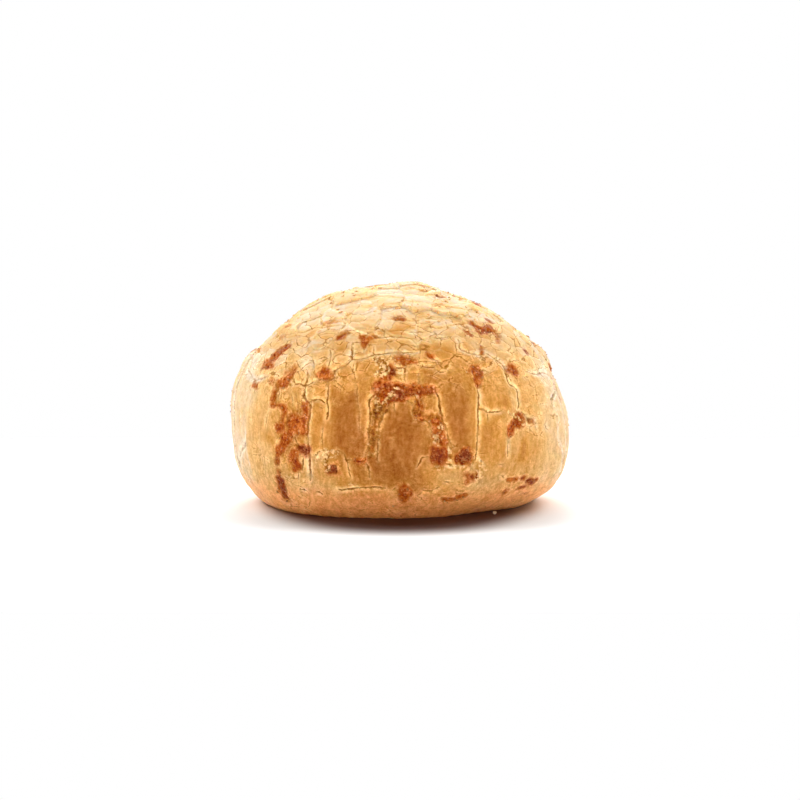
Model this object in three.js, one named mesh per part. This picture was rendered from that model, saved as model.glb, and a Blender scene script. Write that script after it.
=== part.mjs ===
// Pao de queijo: one small baked cheese bun, a single solid standing on the flat of its base.
// Millimetres and degrees, +Z up. A place on the crust is given as degrees round from the front (-Y),
// positive to the right (+X), and height. The crust is a squat rounded form with crags, cracked into
// plates, and torn open where the cheese boiled out.
import * as THREE from "three";
import { mergeVertices } from "three/addons/utils/BufferGeometryUtils.js";

// The form
const HALF_WIDTH = 30;
const DEPTH_SHARE = 0.97; // front to back, against side to side
const HEIGHT = 38.6;
const BELLY_HEIGHT = 14.4; // where the bun is widest
const CROWN_POWER = 2; // 2 is an ellipse, more is boxier
const UNDER_POWER = 3.15;
const UNDER_REACH = 17.3; // the rounded underside would end this far below the belly, but the tin flattens it
const CROWN_SLANT = 1.7; // the belly rides up at the left and down at the right by this
const UNDER_TILT = 0.6; // the underside lifts at the right by this
const MESH_DETAIL = 20;

// Crags: round from the front, height, reach over the crust and rise
const CRAGS = [
  { round: 30, height: 38.2, reach: 5, rise: 0.5 },
  { round: 88, height: 37, reach: 6, rise: -0.9 },
  { round: 88, height: 32.5, reach: 6, rise: -0.9 },
  { round: 90, height: 26, reach: 3, rise: 0.3 },
  { round: 90, height: 21, reach: 5, rise: -0.6 },
  { round: -80, height: 37.2, reach: 4, rise: 0.4 },
  { round: -88, height: 31, reach: 6, rise: -0.8 },
  { round: -90, height: 26, reach: 3, rise: 0.2 },
  { round: 40, height: 1.5, reach: 9, rise: -0.7 },
  { round: -40, height: 1.5, reach: 9, rise: 0.5 },
  { round: 150, height: 30, reach: 9, rise: 0.5 },
  { round: -150, height: 20, reach: 9, rise: -0.5 },
  { round: 180, height: 12, reach: 9, rise: 0.5 },
];

// Cracks of the front, drawn as routes over the crust: [round, height] at each turn, and the groove's depth
const FRONT_CRACKS = [
  { depth: 0.9, route: [[-34, 22.3], [-31, 19], [-31, 14], [-31, 7]] },
  { depth: 0.6, route: [[-25, 23.3], [-24, 17.3]] },
  { depth: 0.8, route: [[-10, 20.8], [-8.5, 16.3], [-9, 13.8], [-10.5, 7.5]] },
  { depth: 0.8, route: [[4, 20.3], [7.5, 17.8], [11.5, 15], [11, 11.3]] },
  { depth: 0.6, route: [[27, 25.3], [27, 21.3], [25, 16], [24.5, 10.3]] },
  { depth: 0.7, route: [[41, 25], [43, 21.3], [42, 18], [37.5, 15], [37, 10.8]] },
  { depth: 0.7, route: [[-39, 22.5], [-31, 23.3], [-24, 25.3], [-18, 26.8], [-10.5, 27.8], [-1, 28.3]] },
  { depth: 0.6, route: [[12, 25.8], [24, 28.3], [32, 27.5], [41, 25]] },
  { depth: 0.5, route: [[-49, 17.8], [-55, 13.5], [-55, 7.8]] },
  { depth: 0.5, route: [[42, 18], [49.5, 16.3], [58, 13.8], [60, 20]] },
  { depth: 0.4, route: [[-35.5, 5.3], [-22, 5.5], [-5.5, 5.8]] },
  { depth: 0.4, route: [[7.5, 5.3], [14, 3.3], [21, 4.3]] },
];

// Tears, where the crust has opened down to rough browned cheese: round, height, reach and depth
const TEARS = [
  { round: -52, height: 27, reach: 2.2, depth: 0.6 },
  { round: -42, height: 23.3, reach: 1.8, depth: 0.6 },
  { round: -6.5, height: 22.8, reach: 2.2, depth: 0.8 },
  { round: -1, height: 22.3, reach: 2.4, depth: 0.8 },
  { round: 6, height: 22, reach: 2.4, depth: 0.8 },
  { round: 12, height: 21.5, reach: 2, depth: 0.7 },
  { round: -38, height: 17.5, reach: 2.2, depth: 0.6 },
  { round: -36.5, height: 10, reach: 1.8, depth: 0.7 },
  { round: -23.5, height: 9, reach: 1.3, depth: 0.9 },
  { round: 11, height: 11.3, reach: 1.6, depth: 0.7 },
  { round: 20, height: 11, reach: 1.5, depth: 0.7 },
  { round: 41.5, height: 16.8, reach: 1.6, depth: 0.6 },
  { round: 1.5, height: 5, reach: 1.4, depth: 0.6 },
];

// The crown and the back crack into plates, each round a seed
const PLATE_SPACING = 7.6;
const PLATE_SCATTER = 0.42; // how far a seed strays from its even place, as a share of the spacing
const PLATE_LIFT = 0.35; // plates stand proud or sunk by up to this
const PLATE_DOME = 0.25; // a plate's edges sink by this
const DOME_REACH = 2; // over this distance from the crack
const WALL_STRETCH = 0.72; // plates on the wall are taller than wide
const CROWN_FROM = 24; // above this height the stretch fades out
const CROWN_FADE = 12;
const WOBBLE = { wave: 3.1, by: 1.1 }; // the cracks between plates wander
const BACK_CRACK_DEPTH = 0.6;
const SEED_LOWEST = 3;
const FRONT_EDGE = { round: 62, top: 30.5, fade: 4 }; // where the front's own cracks give way to plates
const GROOVE_WIDTH = 0.5;
const GATHER = 1; // vertices this near a crack are drawn to its line
const UNCRACKED_BELOW = 1.2; // the underside stays smooth
const UNCRACKED_FADE = 2;
const ROUGHNESS = { wave: 2, by: 0.12 };

const clamp = (value) => Math.min(1, Math.max(0, value));
const smooth = (value) => clamp(value) ** 2 * (3 - 2 * clamp(value));
const radians = THREE.MathUtils.degToRad;

// A repeatable random number from 0 to 1 for a whole number.
function random(index) {
  let h = Math.imul(index ^ 0x9e3779b9, 0x85ebca6b);
  h = Math.imul(h ^ (h >>> 13), 0xc2b2ae35);
  return ((h ^ (h >>> 16)) >>> 0) / 2 ** 32;
}

// Large primes, so that no two corners near each other share a number.
const NOISE_STRIDES = [73856093, 19349663, 83492791];

// Smooth noise from -1 to 1 over space, about one wave for each two units.
function noise(x, y, z) {
  const cell = [x, y, z].map(Math.floor);
  const share = [x, y, z].map((value, axis) => smooth(value - cell[axis]));
  let sum = 0;
  for (let corner = 0; corner < 8; corner++) {
    const step = [corner & 1, (corner >> 1) & 1, corner >> 2];
    let index = 0;
    let weight = 1;
    for (let axis = 0; axis < 3; axis++) {
      index += (cell[axis] + step[axis]) * NOISE_STRIDES[axis];
      weight *= step[axis] ? share[axis] : 1 - share[axis];
    }
    sum += weight * random(index | 0);
  }
  return 2 * sum - 1;
}

// The bare form: the point of the bun's skin in a direction from the middle of the belly.
function form(direction) {
  const across = Math.hypot(direction.x, direction.y);
  const upper = direction.z >= 0;
  const power = upper ? CROWN_POWER : UNDER_POWER;
  const reach = upper ? HEIGHT - BELLY_HEIGHT : UNDER_REACH;
  const length = ((across / HALF_WIDTH) ** power + (Math.abs(direction.z) / reach) ** power) ** (-1 / power);
  const point = direction.clone().multiplyScalar(length);
  point.y *= DEPTH_SHARE;
  const side = point.x / HALF_WIDTH;
  const under = smooth(-point.z / BELLY_HEIGHT);
  const height = point.z + BELLY_HEIGHT + UNDER_TILT * side * under;
  point.z = height - CROWN_SLANT * side * Math.sin(Math.PI * clamp(height / HEIGHT));
  return point;
}

function direction(round, polar) {
  const angle = radians(round);
  const across = Math.sin(polar);
  return new THREE.Vector3(across * Math.sin(angle), -across * Math.cos(angle), Math.cos(polar));
}

const LOWEST_POLAR = 0.72 * Math.PI;
const HALVINGS = 30;

// The point of the bare form at a height, found by halving the angle down from the crown.
function place(round, height) {
  let [above, below] = [0, LOWEST_POLAR];
  for (let step = 0; step < HALVINGS; step++) {
    const middle = (above + below) / 2;
    if (form(direction(round, middle)).z > height) above = middle;
    else below = middle;
  }
  return form(direction(round, above));
}

// The form's outward normal in a direction, from its slope over a small step either way.
function normalAt(way) {
  const side = new THREE.Vector3(0, 0, 1).cross(way);
  if (side.lengthSq() < 1e-6) side.set(1, 0, 0);
  side.setLength(0.01);
  const up = way.clone().cross(side);
  const along = form(way.clone().add(side)).sub(form(way.clone().sub(side)));
  const rise = form(way.clone().add(up)).sub(form(way.clone().sub(up)));
  return along.cross(rise).normalize();
}

const spots = (list) => list.map((spot) => ({ ...spot, centre: place(spot.round, spot.height) }));
const crags = spots(CRAGS);
const tears = spots(TEARS);
const segments = FRONT_CRACKS.flatMap(({ depth, route }) => {
  const points = route.map(([round, height]) => place(round, height));
  return points.slice(1).map((end, index) => ({ depth, line: new THREE.Line3(points[index], end) }));
});

// Distances over the wall are shrunk upwards, so that plates come out taller there.
const plateSpace = (point) => {
  const crownward = smooth((point.z - CROWN_FROM) / CROWN_FADE);
  return new THREE.Vector3(point.x, point.y, point.z * THREE.MathUtils.lerp(WALL_STRETCH, 1, crownward));
};

// Seeds spread evenly over the crust on a golden spiral, each strayed a little at random.
const plates = (() => {
  const area = 4 * Math.PI * HALF_WIDTH * (HEIGHT / 2);
  const count = Math.round(area / PLATE_SPACING ** 2);
  const golden = 180 * (3 - Math.sqrt(5));
  const list = [];
  for (let index = 0; index < count; index++) {
    const stray = (salt) => PLATE_SCATTER * PLATE_SPACING * (2 * random(index * 7 + salt) - 1);
    const polar = Math.acos(1 - (2 * (index + 0.5)) / count);
    const point = form(direction(index * golden, polar));
    point.add(new THREE.Vector3(stray(1), stray(2), stray(3)));
    if (point.z < SEED_LOWEST) continue;
    list.push({ seed: plateSpace(point), lift: PLATE_LIFT * (2 * random(index * 7 + 4) - 1) });
  }
  return list;
})();

// How far a point is inside the front, whose cracks are drawn one by one: 1 inside, 0 where plates take over.
function frontShare(point) {
  const round = Math.abs(THREE.MathUtils.radToDeg(Math.atan2(point.x, -point.y)));
  const span = (FRONT_EDGE.fade / HALF_WIDTH) * (180 / Math.PI);
  return smooth((FRONT_EDGE.round - round) / span) * smooth((FRONT_EDGE.top - point.z) / FRONT_EDGE.fade);
}

// The nearest drawn crack: its distance, depth and closest point.
function nearestRoute(point) {
  let best = { distance: Infinity };
  for (const { depth, line } of segments) {
    const closest = line.closestPointToPoint(point, true, new THREE.Vector3());
    const distance = closest.distanceTo(point);
    if (distance < best.distance) best = { distance, depth, towards: closest.sub(point) };
  }
  return best;
}

// The plate that a point lies on, with the distance and the way to its nearest edge.
function plateAt(point) {
  const here = plateSpace(point);
  const [x, y, z] = point.toArray().map((value) => value / WOBBLE.wave);
  here.x += WOBBLE.by * noise(x, y, z + 40);
  here.y += WOBBLE.by * noise(x + 70, y, z);
  let [first, second] = [null, null];
  for (const plate of plates) {
    const entry = { plate, distance: plate.seed.distanceTo(here) };
    if (!first || entry.distance < first.distance) [first, second] = [entry, first];
    else if (!second || entry.distance < second.distance) second = entry;
  }
  const towards = second.plate.seed.clone().sub(first.plate.seed);
  const apart = towards.length();
  const distance = (second.distance ** 2 - first.distance ** 2) / (2 * apart);
  return { distance, lift: first.plate.lift, towards: towards.multiplyScalar(distance / apart) };
}

// Draws a vertex in to the line of a crack nearby, so that the groove gets a sharp bottom.
function gather(point, crack) {
  if (crack.distance >= GATHER) return crack.distance;
  const share = (crack.distance / GATHER) ** 2;
  point.addScaledVector(crack.towards, 1 - share);
  return crack.distance * share;
}

const groove = (distance) => Math.exp(-((distance / GROOVE_WIDTH) ** 2));

// The crust's relief at a point of the bare form, which may be moved along the crust to meet a crack.
function relief(point) {
  const front = frontShare(point);
  const bare = smooth((point.z - UNCRACKED_BELOW) / UNCRACKED_FADE);
  const nearness = ({ centre, reach }) => Math.exp(-((centre.distanceTo(point) / reach) ** 4));
  let rise = 0;
  for (const crag of crags) rise += crag.rise * nearness(crag);
  for (const tear of tears) rise -= tear.depth * nearness(tear);
  const plate = plateAt(point);
  const route = nearestRoute(point);
  const nearest = front > 0.5 ? gather(point, route) : gather(point, plate);
  const depth = front > 0.5 ? route.depth : BACK_CRACK_DEPTH;
  const edge = 1 - Math.min(1, nearest / DOME_REACH);
  rise += bare * ((1 - front) * plate.lift - PLATE_DOME * edge ** 2 - depth * groove(nearest));
  const [x, y, z] = point.toArray().map((value) => value / ROUGHNESS.wave);
  return rise + bare * ROUGHNESS.by * noise(x, y, z);
}

function crust() {
  const geometry = new THREE.IcosahedronGeometry(1, MESH_DETAIL);
  geometry.deleteAttribute("normal");
  geometry.deleteAttribute("uv");
  const merged = mergeVertices(geometry, 1e-5);
  const positions = merged.getAttribute("position");
  const way = new THREE.Vector3();
  for (let index = 0; index < positions.count; index++) {
    way.fromBufferAttribute(positions, index).normalize();
    const point = form(way);
    const normal = normalAt(way);
    point.addScaledVector(normal, relief(point));
    positions.setXYZ(index, point.x, point.y, Math.max(0, point.z));
  }
  merged.computeBoundingBox();
  const middle = merged.boundingBox.getCenter(new THREE.Vector3());
  merged.translate(-middle.x, -middle.y, 0);
  merged.computeVertexNormals();
  return merged;
}

const bun = new THREE.Group();
const bread = new THREE.Mesh(
  crust(),
  new THREE.MeshStandardMaterial({ color: 0xe0a65c, roughness: 0.75, metalness: 0 }),
);
bread.name = "cheese_ball";
bun.add(bread);

export default bun;
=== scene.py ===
"""Pao de queijo: a small baked cheese bun, its cracked crust, browned cheese and crumb.

Laid out as a Blender add-on and run as a script. Each piece has its operator. The crust is worked out in
millimetres and degrees: a place on it is [degrees round, millimetres up], where 0 degrees is the front (-Y)
and 90 degrees the right (+X). The front's own features are placed as the camera sees them, in pixels of its
square picture, and cast back on to the form. Finished meshes are in metres, like the frame they are built
round.
"""

import itertools
import math
from collections import namedtuple

import bmesh
import bpy
import numpy as np
from mathutils.bvhtree import BVHTree
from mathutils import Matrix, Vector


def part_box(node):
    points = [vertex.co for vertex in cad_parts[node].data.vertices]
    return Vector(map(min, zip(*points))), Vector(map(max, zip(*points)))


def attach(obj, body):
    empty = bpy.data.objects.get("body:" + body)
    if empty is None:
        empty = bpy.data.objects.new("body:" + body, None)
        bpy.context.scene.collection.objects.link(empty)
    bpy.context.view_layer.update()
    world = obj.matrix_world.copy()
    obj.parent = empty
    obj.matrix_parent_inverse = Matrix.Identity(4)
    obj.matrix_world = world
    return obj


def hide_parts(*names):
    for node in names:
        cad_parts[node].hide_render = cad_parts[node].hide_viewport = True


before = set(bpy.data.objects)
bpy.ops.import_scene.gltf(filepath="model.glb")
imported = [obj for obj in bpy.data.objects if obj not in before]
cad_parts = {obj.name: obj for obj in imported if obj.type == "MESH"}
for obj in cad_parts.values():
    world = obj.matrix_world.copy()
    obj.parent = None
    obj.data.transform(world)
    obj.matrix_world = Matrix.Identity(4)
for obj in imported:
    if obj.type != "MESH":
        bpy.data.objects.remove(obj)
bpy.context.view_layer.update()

bl_info = {
    "name": "Cheese Bun",
    "version": (1, 0, 0),
    "blender": (4, 5, 0),
    "location": "View3D > Sidebar > Bun",
    "description": "Builds a baked cheese bun with a cracked and browned crust",
    "category": "Add Mesh",
}

MM = 0.001
NODE = "cheese_ball"
BODY = "root"
NODE_LOW, NODE_HIGH = (np.array(corner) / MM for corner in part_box(NODE))

# ---- The camera, in millimetres and degrees ----

PICTURE = 800  # pixels along each side of its square picture
LENS = 85.0
SENSOR = 36.0
CAMERA_RISE = 5.0
CAMERA_AIM = np.array((0.0, 0.0, 17.85))
CAMERA_AWAY = 335.3
CAMERA_BACK = np.array((0.0, -math.cos(math.radians(CAMERA_RISE)), math.sin(math.radians(CAMERA_RISE))))
CAMERA_RIGHT = np.array((1.0, 0.0, 0.0))
CAMERA_UP = np.cross(CAMERA_BACK, CAMERA_RIGHT)
CAMERA_AT = CAMERA_AIM + CAMERA_AWAY * CAMERA_BACK
PIXEL = CAMERA_AWAY * SENSOR / (LENS * PICTURE)  # what one pixel spans at the bun

# ---- The form, in millimetres ----

HALF_WIDTH = 30.0
DEPTH_SHARE = 0.97  # front to back, against side to side
HEIGHT = 38.6
BELLY_HEIGHT = 14.4  # where the bun is widest
CROWN_POWER = 2.0  # 2 is an ellipse, more is boxier
UNDER_POWER = 3.15
UNDER_REACH = 17.3  # the rounded underside would end this far below the belly, but the tin flattens it
CROWN_SLANT = 1.7  # the belly rides up at the left and down at the right by this
UNDER_TILT = 0.6  # the underside lifts at the right by this

Crag = namedtuple("Crag", "round height reach rise")
CRAGS = (
    Crag(30, 38.2, 5, 0.5),
    Crag(88, 37, 6, -0.9),
    Crag(88, 32.5, 6, -0.9),
    Crag(90, 26, 3, 0.3),
    Crag(90, 21, 5, -0.6),
    Crag(-80, 37.2, 4, 0.4),
    Crag(-88, 31, 6, -0.8),
    Crag(-90, 26, 3, 0.2),
    Crag(40, 1.5, 9, -0.7),
    Crag(-40, 1.5, 9, 0.5),
    Crag(150, 30, 9, 0.5),
    Crag(-150, 20, 9, -0.5),
    Crag(180, 12, 9, 0.5),
)

# ---- The front's features: turns and half widths in pixels, depths in millimetres ----

Crack = namedtuple("Crack", "half_width depth turns")
CRACKS = {
    "left gutter": Crack(0.9, 0.6, (
        (303, 385), (302, 393), (304, 399), (308, 405), (308, 412), (306, 425), (306, 440), (307, 455),
        (308, 468), (308.5, 480)
    )),
    "left plate top": Crack(0.6, 0.4, ((307, 402), (310, 399), (316, 398), (320, 399.5), (323, 402))),
    "left plate right": Crack(0.6, 0.45, ((327, 381), (326, 395), (325, 400), (326, 406), (325, 418))),
    "left plate fold": Crack(0.3, 0.12, ((321, 424), (320, 436), (320, 449))),
    "broad plate notch": Crack(0.5, 0.35, ((351, 363), (351.5, 370), (353, 375), (354, 378))),
    "broad plate wrinkle": Crack(0.3, 0.1, ((356, 382), (355, 392), (357, 410), (358, 432))),
    "broad plate foot": Crack(0.6, 0.45, ((346, 459), (352, 460), (358, 462), (363, 461), (364, 455))),
    "broad plate tail": Crack(0.5, 0.35, ((364, 463), (366, 467), (367, 478))),
    "middle gutter left": Crack(0.6, 0.5, (
        (376, 391), (370, 396), (367, 399), (368.5, 408), (369, 418), (367, 432), (367, 446), (365, 455)
    )),
    "middle gutter right": Crack(0.5, 0.4, (
        (386, 409), (382, 414), (379, 420), (377, 430), (376, 444), (375, 461)
    )),
    "middle plate nick": Crack(0.5, 0.35, ((393, 401), (393, 409))),
    "middle plate shoulder": Crack(0.5, 0.45, (
        (407, 400), (411, 402), (413.5, 408), (414, 415), (417, 418.5), (424, 419), (429, 423), (431, 431)
    )),
    "small plate side": Crack(0.6, 0.45, (
        (434, 386), (436, 392), (438.5, 398), (438, 405), (440, 412), (441, 419)
    )),
    "tall plate left": Crack(0.4, 0.3, ((441, 420), (446, 426), (447, 436), (449, 444))),
    "tall plate right": Crack(0.6, 0.5, (
        (477, 383), (478, 392), (477.5, 400), (477, 410), (478, 420), (478, 432), (477, 444), (476, 460)
    )),
    "top knot tail": Crack(0.5, 0.4, ((479, 369), (483, 368), (487, 370))),
    "shoulder run": Crack(0.6, 0.55, (
        (482, 353), (487, 352), (492, 355), (497, 359), (501, 362), (504, 368), (506, 375), (509, 382),
        (512, 385), (516, 386.5), (518, 391), (518, 398), (519, 403), (518, 409)
    )),
    "shoulder inner": Crack(0.5, 0.35, ((504, 370), (508, 374), (511, 380))),
    "shoulder drop": Crack(0.6, 0.5, ((508, 435), (507.5, 441), (508.5, 447), (508, 456))),
    "right dash": Crack(0.5, 0.2, ((522, 375.5), (530, 375.5))),
    "right edge nick": Crack(0.5, 0.25, ((546, 394), (548, 400))),
    "right edge nick below": Crack(0.5, 0.25, ((551, 403), (555, 409))),
    "cross right": Crack(0.5, 0.35, (
        (478.5, 408), (483, 409), (488, 411.5), (497, 411.5), (500, 409.5), (503, 408)
    )),
    "cross stem": Crack(0.5, 0.3, ((487.5, 412), (487, 421))),
    "step right": Crack(0.6, 0.4, (
        (521, 411), (526, 415), (528, 418.5), (535, 418.5), (536, 424), (537.5, 430)
    )),
    "step right low": Crack(0.5, 0.25, ((527, 425.5), (532, 426))),
    "step far": Crack(0.5, 0.25, ((546, 419), (545, 425), (549, 431))),
    "ring far left": Crack(0.6, 0.4, (
        (292, 378), (292, 383), (298, 383), (303, 385), (309, 382), (313, 380), (318, 377.5), (323, 377.5),
        (328, 378.5), (332, 376), (336, 377)
    )),
    "ring left": Crack(0.6, 0.5, (
        (333, 373), (332, 369), (337, 366.5), (343, 364.5), (347, 361), (350, 358), (350, 352), (351, 345)
    )),
    "ring middle": Crack(0.6, 0.5, (
        (350, 358), (357, 357.5), (362, 357.5), (367, 354.5), (373, 353), (382, 352), (391, 351),
        (400, 351), (416, 351.5)
    )),
    "ring right": Crack(0.6, 0.5, (
        (457, 337), (460, 343), (458, 347), (463, 350), (470, 351.5), (476, 353.5), (482, 353)
    )),
    "block top left": Crack(0.5, 0.3, ((393, 366.5), (404, 366.5), (409, 365))),
    "block top right": Crack(0.6, 0.4, ((416, 364.5), (424, 364.5), (433, 365.5))),
    "block side left": Crack(0.5, 0.3, ((404, 367), (403, 375), (404, 383))),
    "block side right": Crack(0.6, 0.4, ((418, 371), (418, 384))),
    "tall plate mark": Crack(0.6, 0.3, ((433, 357), (436, 357.5), (439, 361))),
    "tall plate chevron": Crack(0.6, 0.25, ((436, 368), (441, 371.5), (447, 369))),
    "far left": Crack(0.3, 0.12, ((267, 409), (264, 417), (262, 430))),
    "far left low": Crack(0.3, 0.12, ((255, 432), (257, 446), (258, 458))),
    "far left foot": Crack(0.3, 0.12, ((261, 462), (262, 470))),
    "left crossing": Crack(0.6, 0.4, ((289, 436), (293, 440), (296, 446), (299, 449))),
    "left crossing up": Crack(0.5, 0.35, ((291, 439), (295, 435), (297, 431))),
    "left drop": Crack(0.5, 0.3, ((300.5, 455), (300.5, 470))),
    "left drop low": Crack(0.4, 0.25, ((296.5, 470), (296.5, 480))),
    "left slit": Crack(0.6, 0.35, ((276, 389), (277, 393), (276, 397))),
    "stripe one": Crack(0.3, 0.12, ((288, 389), (290, 400), (291, 410))),
    "stripe two": Crack(0.3, 0.12, ((293, 390), (295, 402), (296, 412))),
    "stripe three": Crack(0.3, 0.12, ((298, 388), (299, 400), (300, 410))),
    "lower left slit": Crack(0.6, 0.35, ((281, 501), (284, 505), (286, 508))),
    "skirt left": Crack(0.5, 0.35, ((299, 488.5), (303, 489), (306, 491))),
    "skirt left next": Crack(0.6, 0.35, ((314, 490), (318, 492), (321, 494.5))),
    "skirt left low": Crack(0.5, 0.25, ((295, 494), (298, 494.5), (301, 497.5))),
    "skirt middle": Crack(0.6, 0.4, (
        (336, 489), (341, 491), (345, 490), (352, 490), (356, 488), (362, 489), (368, 488), (377, 488),
        (384, 489.5)
    )),
    "skirt dash": Crack(0.5, 0.25, ((391, 492), (395, 488))),
    "skirt right": Crack(0.5, 0.3, ((421, 492), (427, 492), (432, 491.5), (438, 488))),
    "skirt right mark": Crack(0.4, 0.2, ((443, 482), (449, 483))),
    "pit ring left": Crack(0.3, 0.2, ((309, 457), (314, 454), (319, 451), (325, 449))),
    "pit ring right": Crack(0.4, 0.25, (
        (335, 450), (341, 452), (344, 458), (345, 466), (347, 474), (349, 479)
    )),
    "hook": Crack(0.5, 0.25, ((416, 468), (418, 463), (421, 458), (427, 456.5))),
    "under the squares": Crack(0.6, 0.35, ((445, 464), (450, 465.5), (453, 468))),
    "below the second": Crack(0.6, 0.4, ((474, 461), (472, 466), (469, 471))),
    "upper left tick": Crack(0.6, 0.3, ((311, 359), (312, 367))),
    "upper left stroke": Crack(0.5, 0.35, ((328, 347), (328.5, 356), (327, 366))),
    "upper left slope": Crack(0.5, 0.25, ((297, 369), (303, 364), (308, 361))),
    "left tile": Crack(0.8, 0.4, ((305, 370), (306, 376), (303, 382))),
    "upper stem one": Crack(0.5, 0.3, ((373, 345), (373, 352))),
    "upper stem two": Crack(0.5, 0.25, ((363, 345), (362, 350))),
    "right spray": Crack(0.5, 0.25, ((488, 338.5), (492, 341), (496, 343))),
    "crown squiggle": Crack(0.5, 0.3, ((408, 337), (411, 340), (415, 341), (416, 345))),
    "crown squiggle right": Crack(0.4, 0.25, ((418, 337), (424, 338), (430, 341))),
    "crown lip one": Crack(0.5, 0.3, ((376, 336), (388, 334.5), (402, 335.5))),
    "crown lip two": Crack(0.5, 0.25, ((404, 329), (412, 330), (424, 330))),
    "crown lip three": Crack(0.5, 0.25, ((424, 317), (432, 318), (442, 318))),
    "crown lip four": Crack(0.5, 0.25, ((314, 331), (322, 328), (334, 326))),
    "crown lip five": Crack(0.5, 0.25, ((432, 336), (440, 336), (447, 336))),
    "crown lip six": Crack(0.4, 0.2, ((341, 320), (344, 325), (341, 330), (338, 331))),
    "crown lip seven": Crack(0.4, 0.2, ((450, 324), (462, 323), (469, 324))),
    "upper ledge one": Crack(0.5, 0.25, ((309, 345), (313, 349), (320, 348), (326, 342))),
    "upper ledge two": Crack(0.4, 0.25, ((352, 331), (358, 333), (362, 337))),
    "lower right tick": Crack(0.5, 0.25, ((504, 476), (506, 480))),
    "lower right dash": Crack(0.4, 0.2, ((500, 464.5), (504, 464.5))),
    "lower right dash two": Crack(0.3, 0.15, ((500, 476), (504, 476.5))),
    "lower right slit": Crack(0.5, 0.25, ((524, 502), (528, 499))),
}

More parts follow.
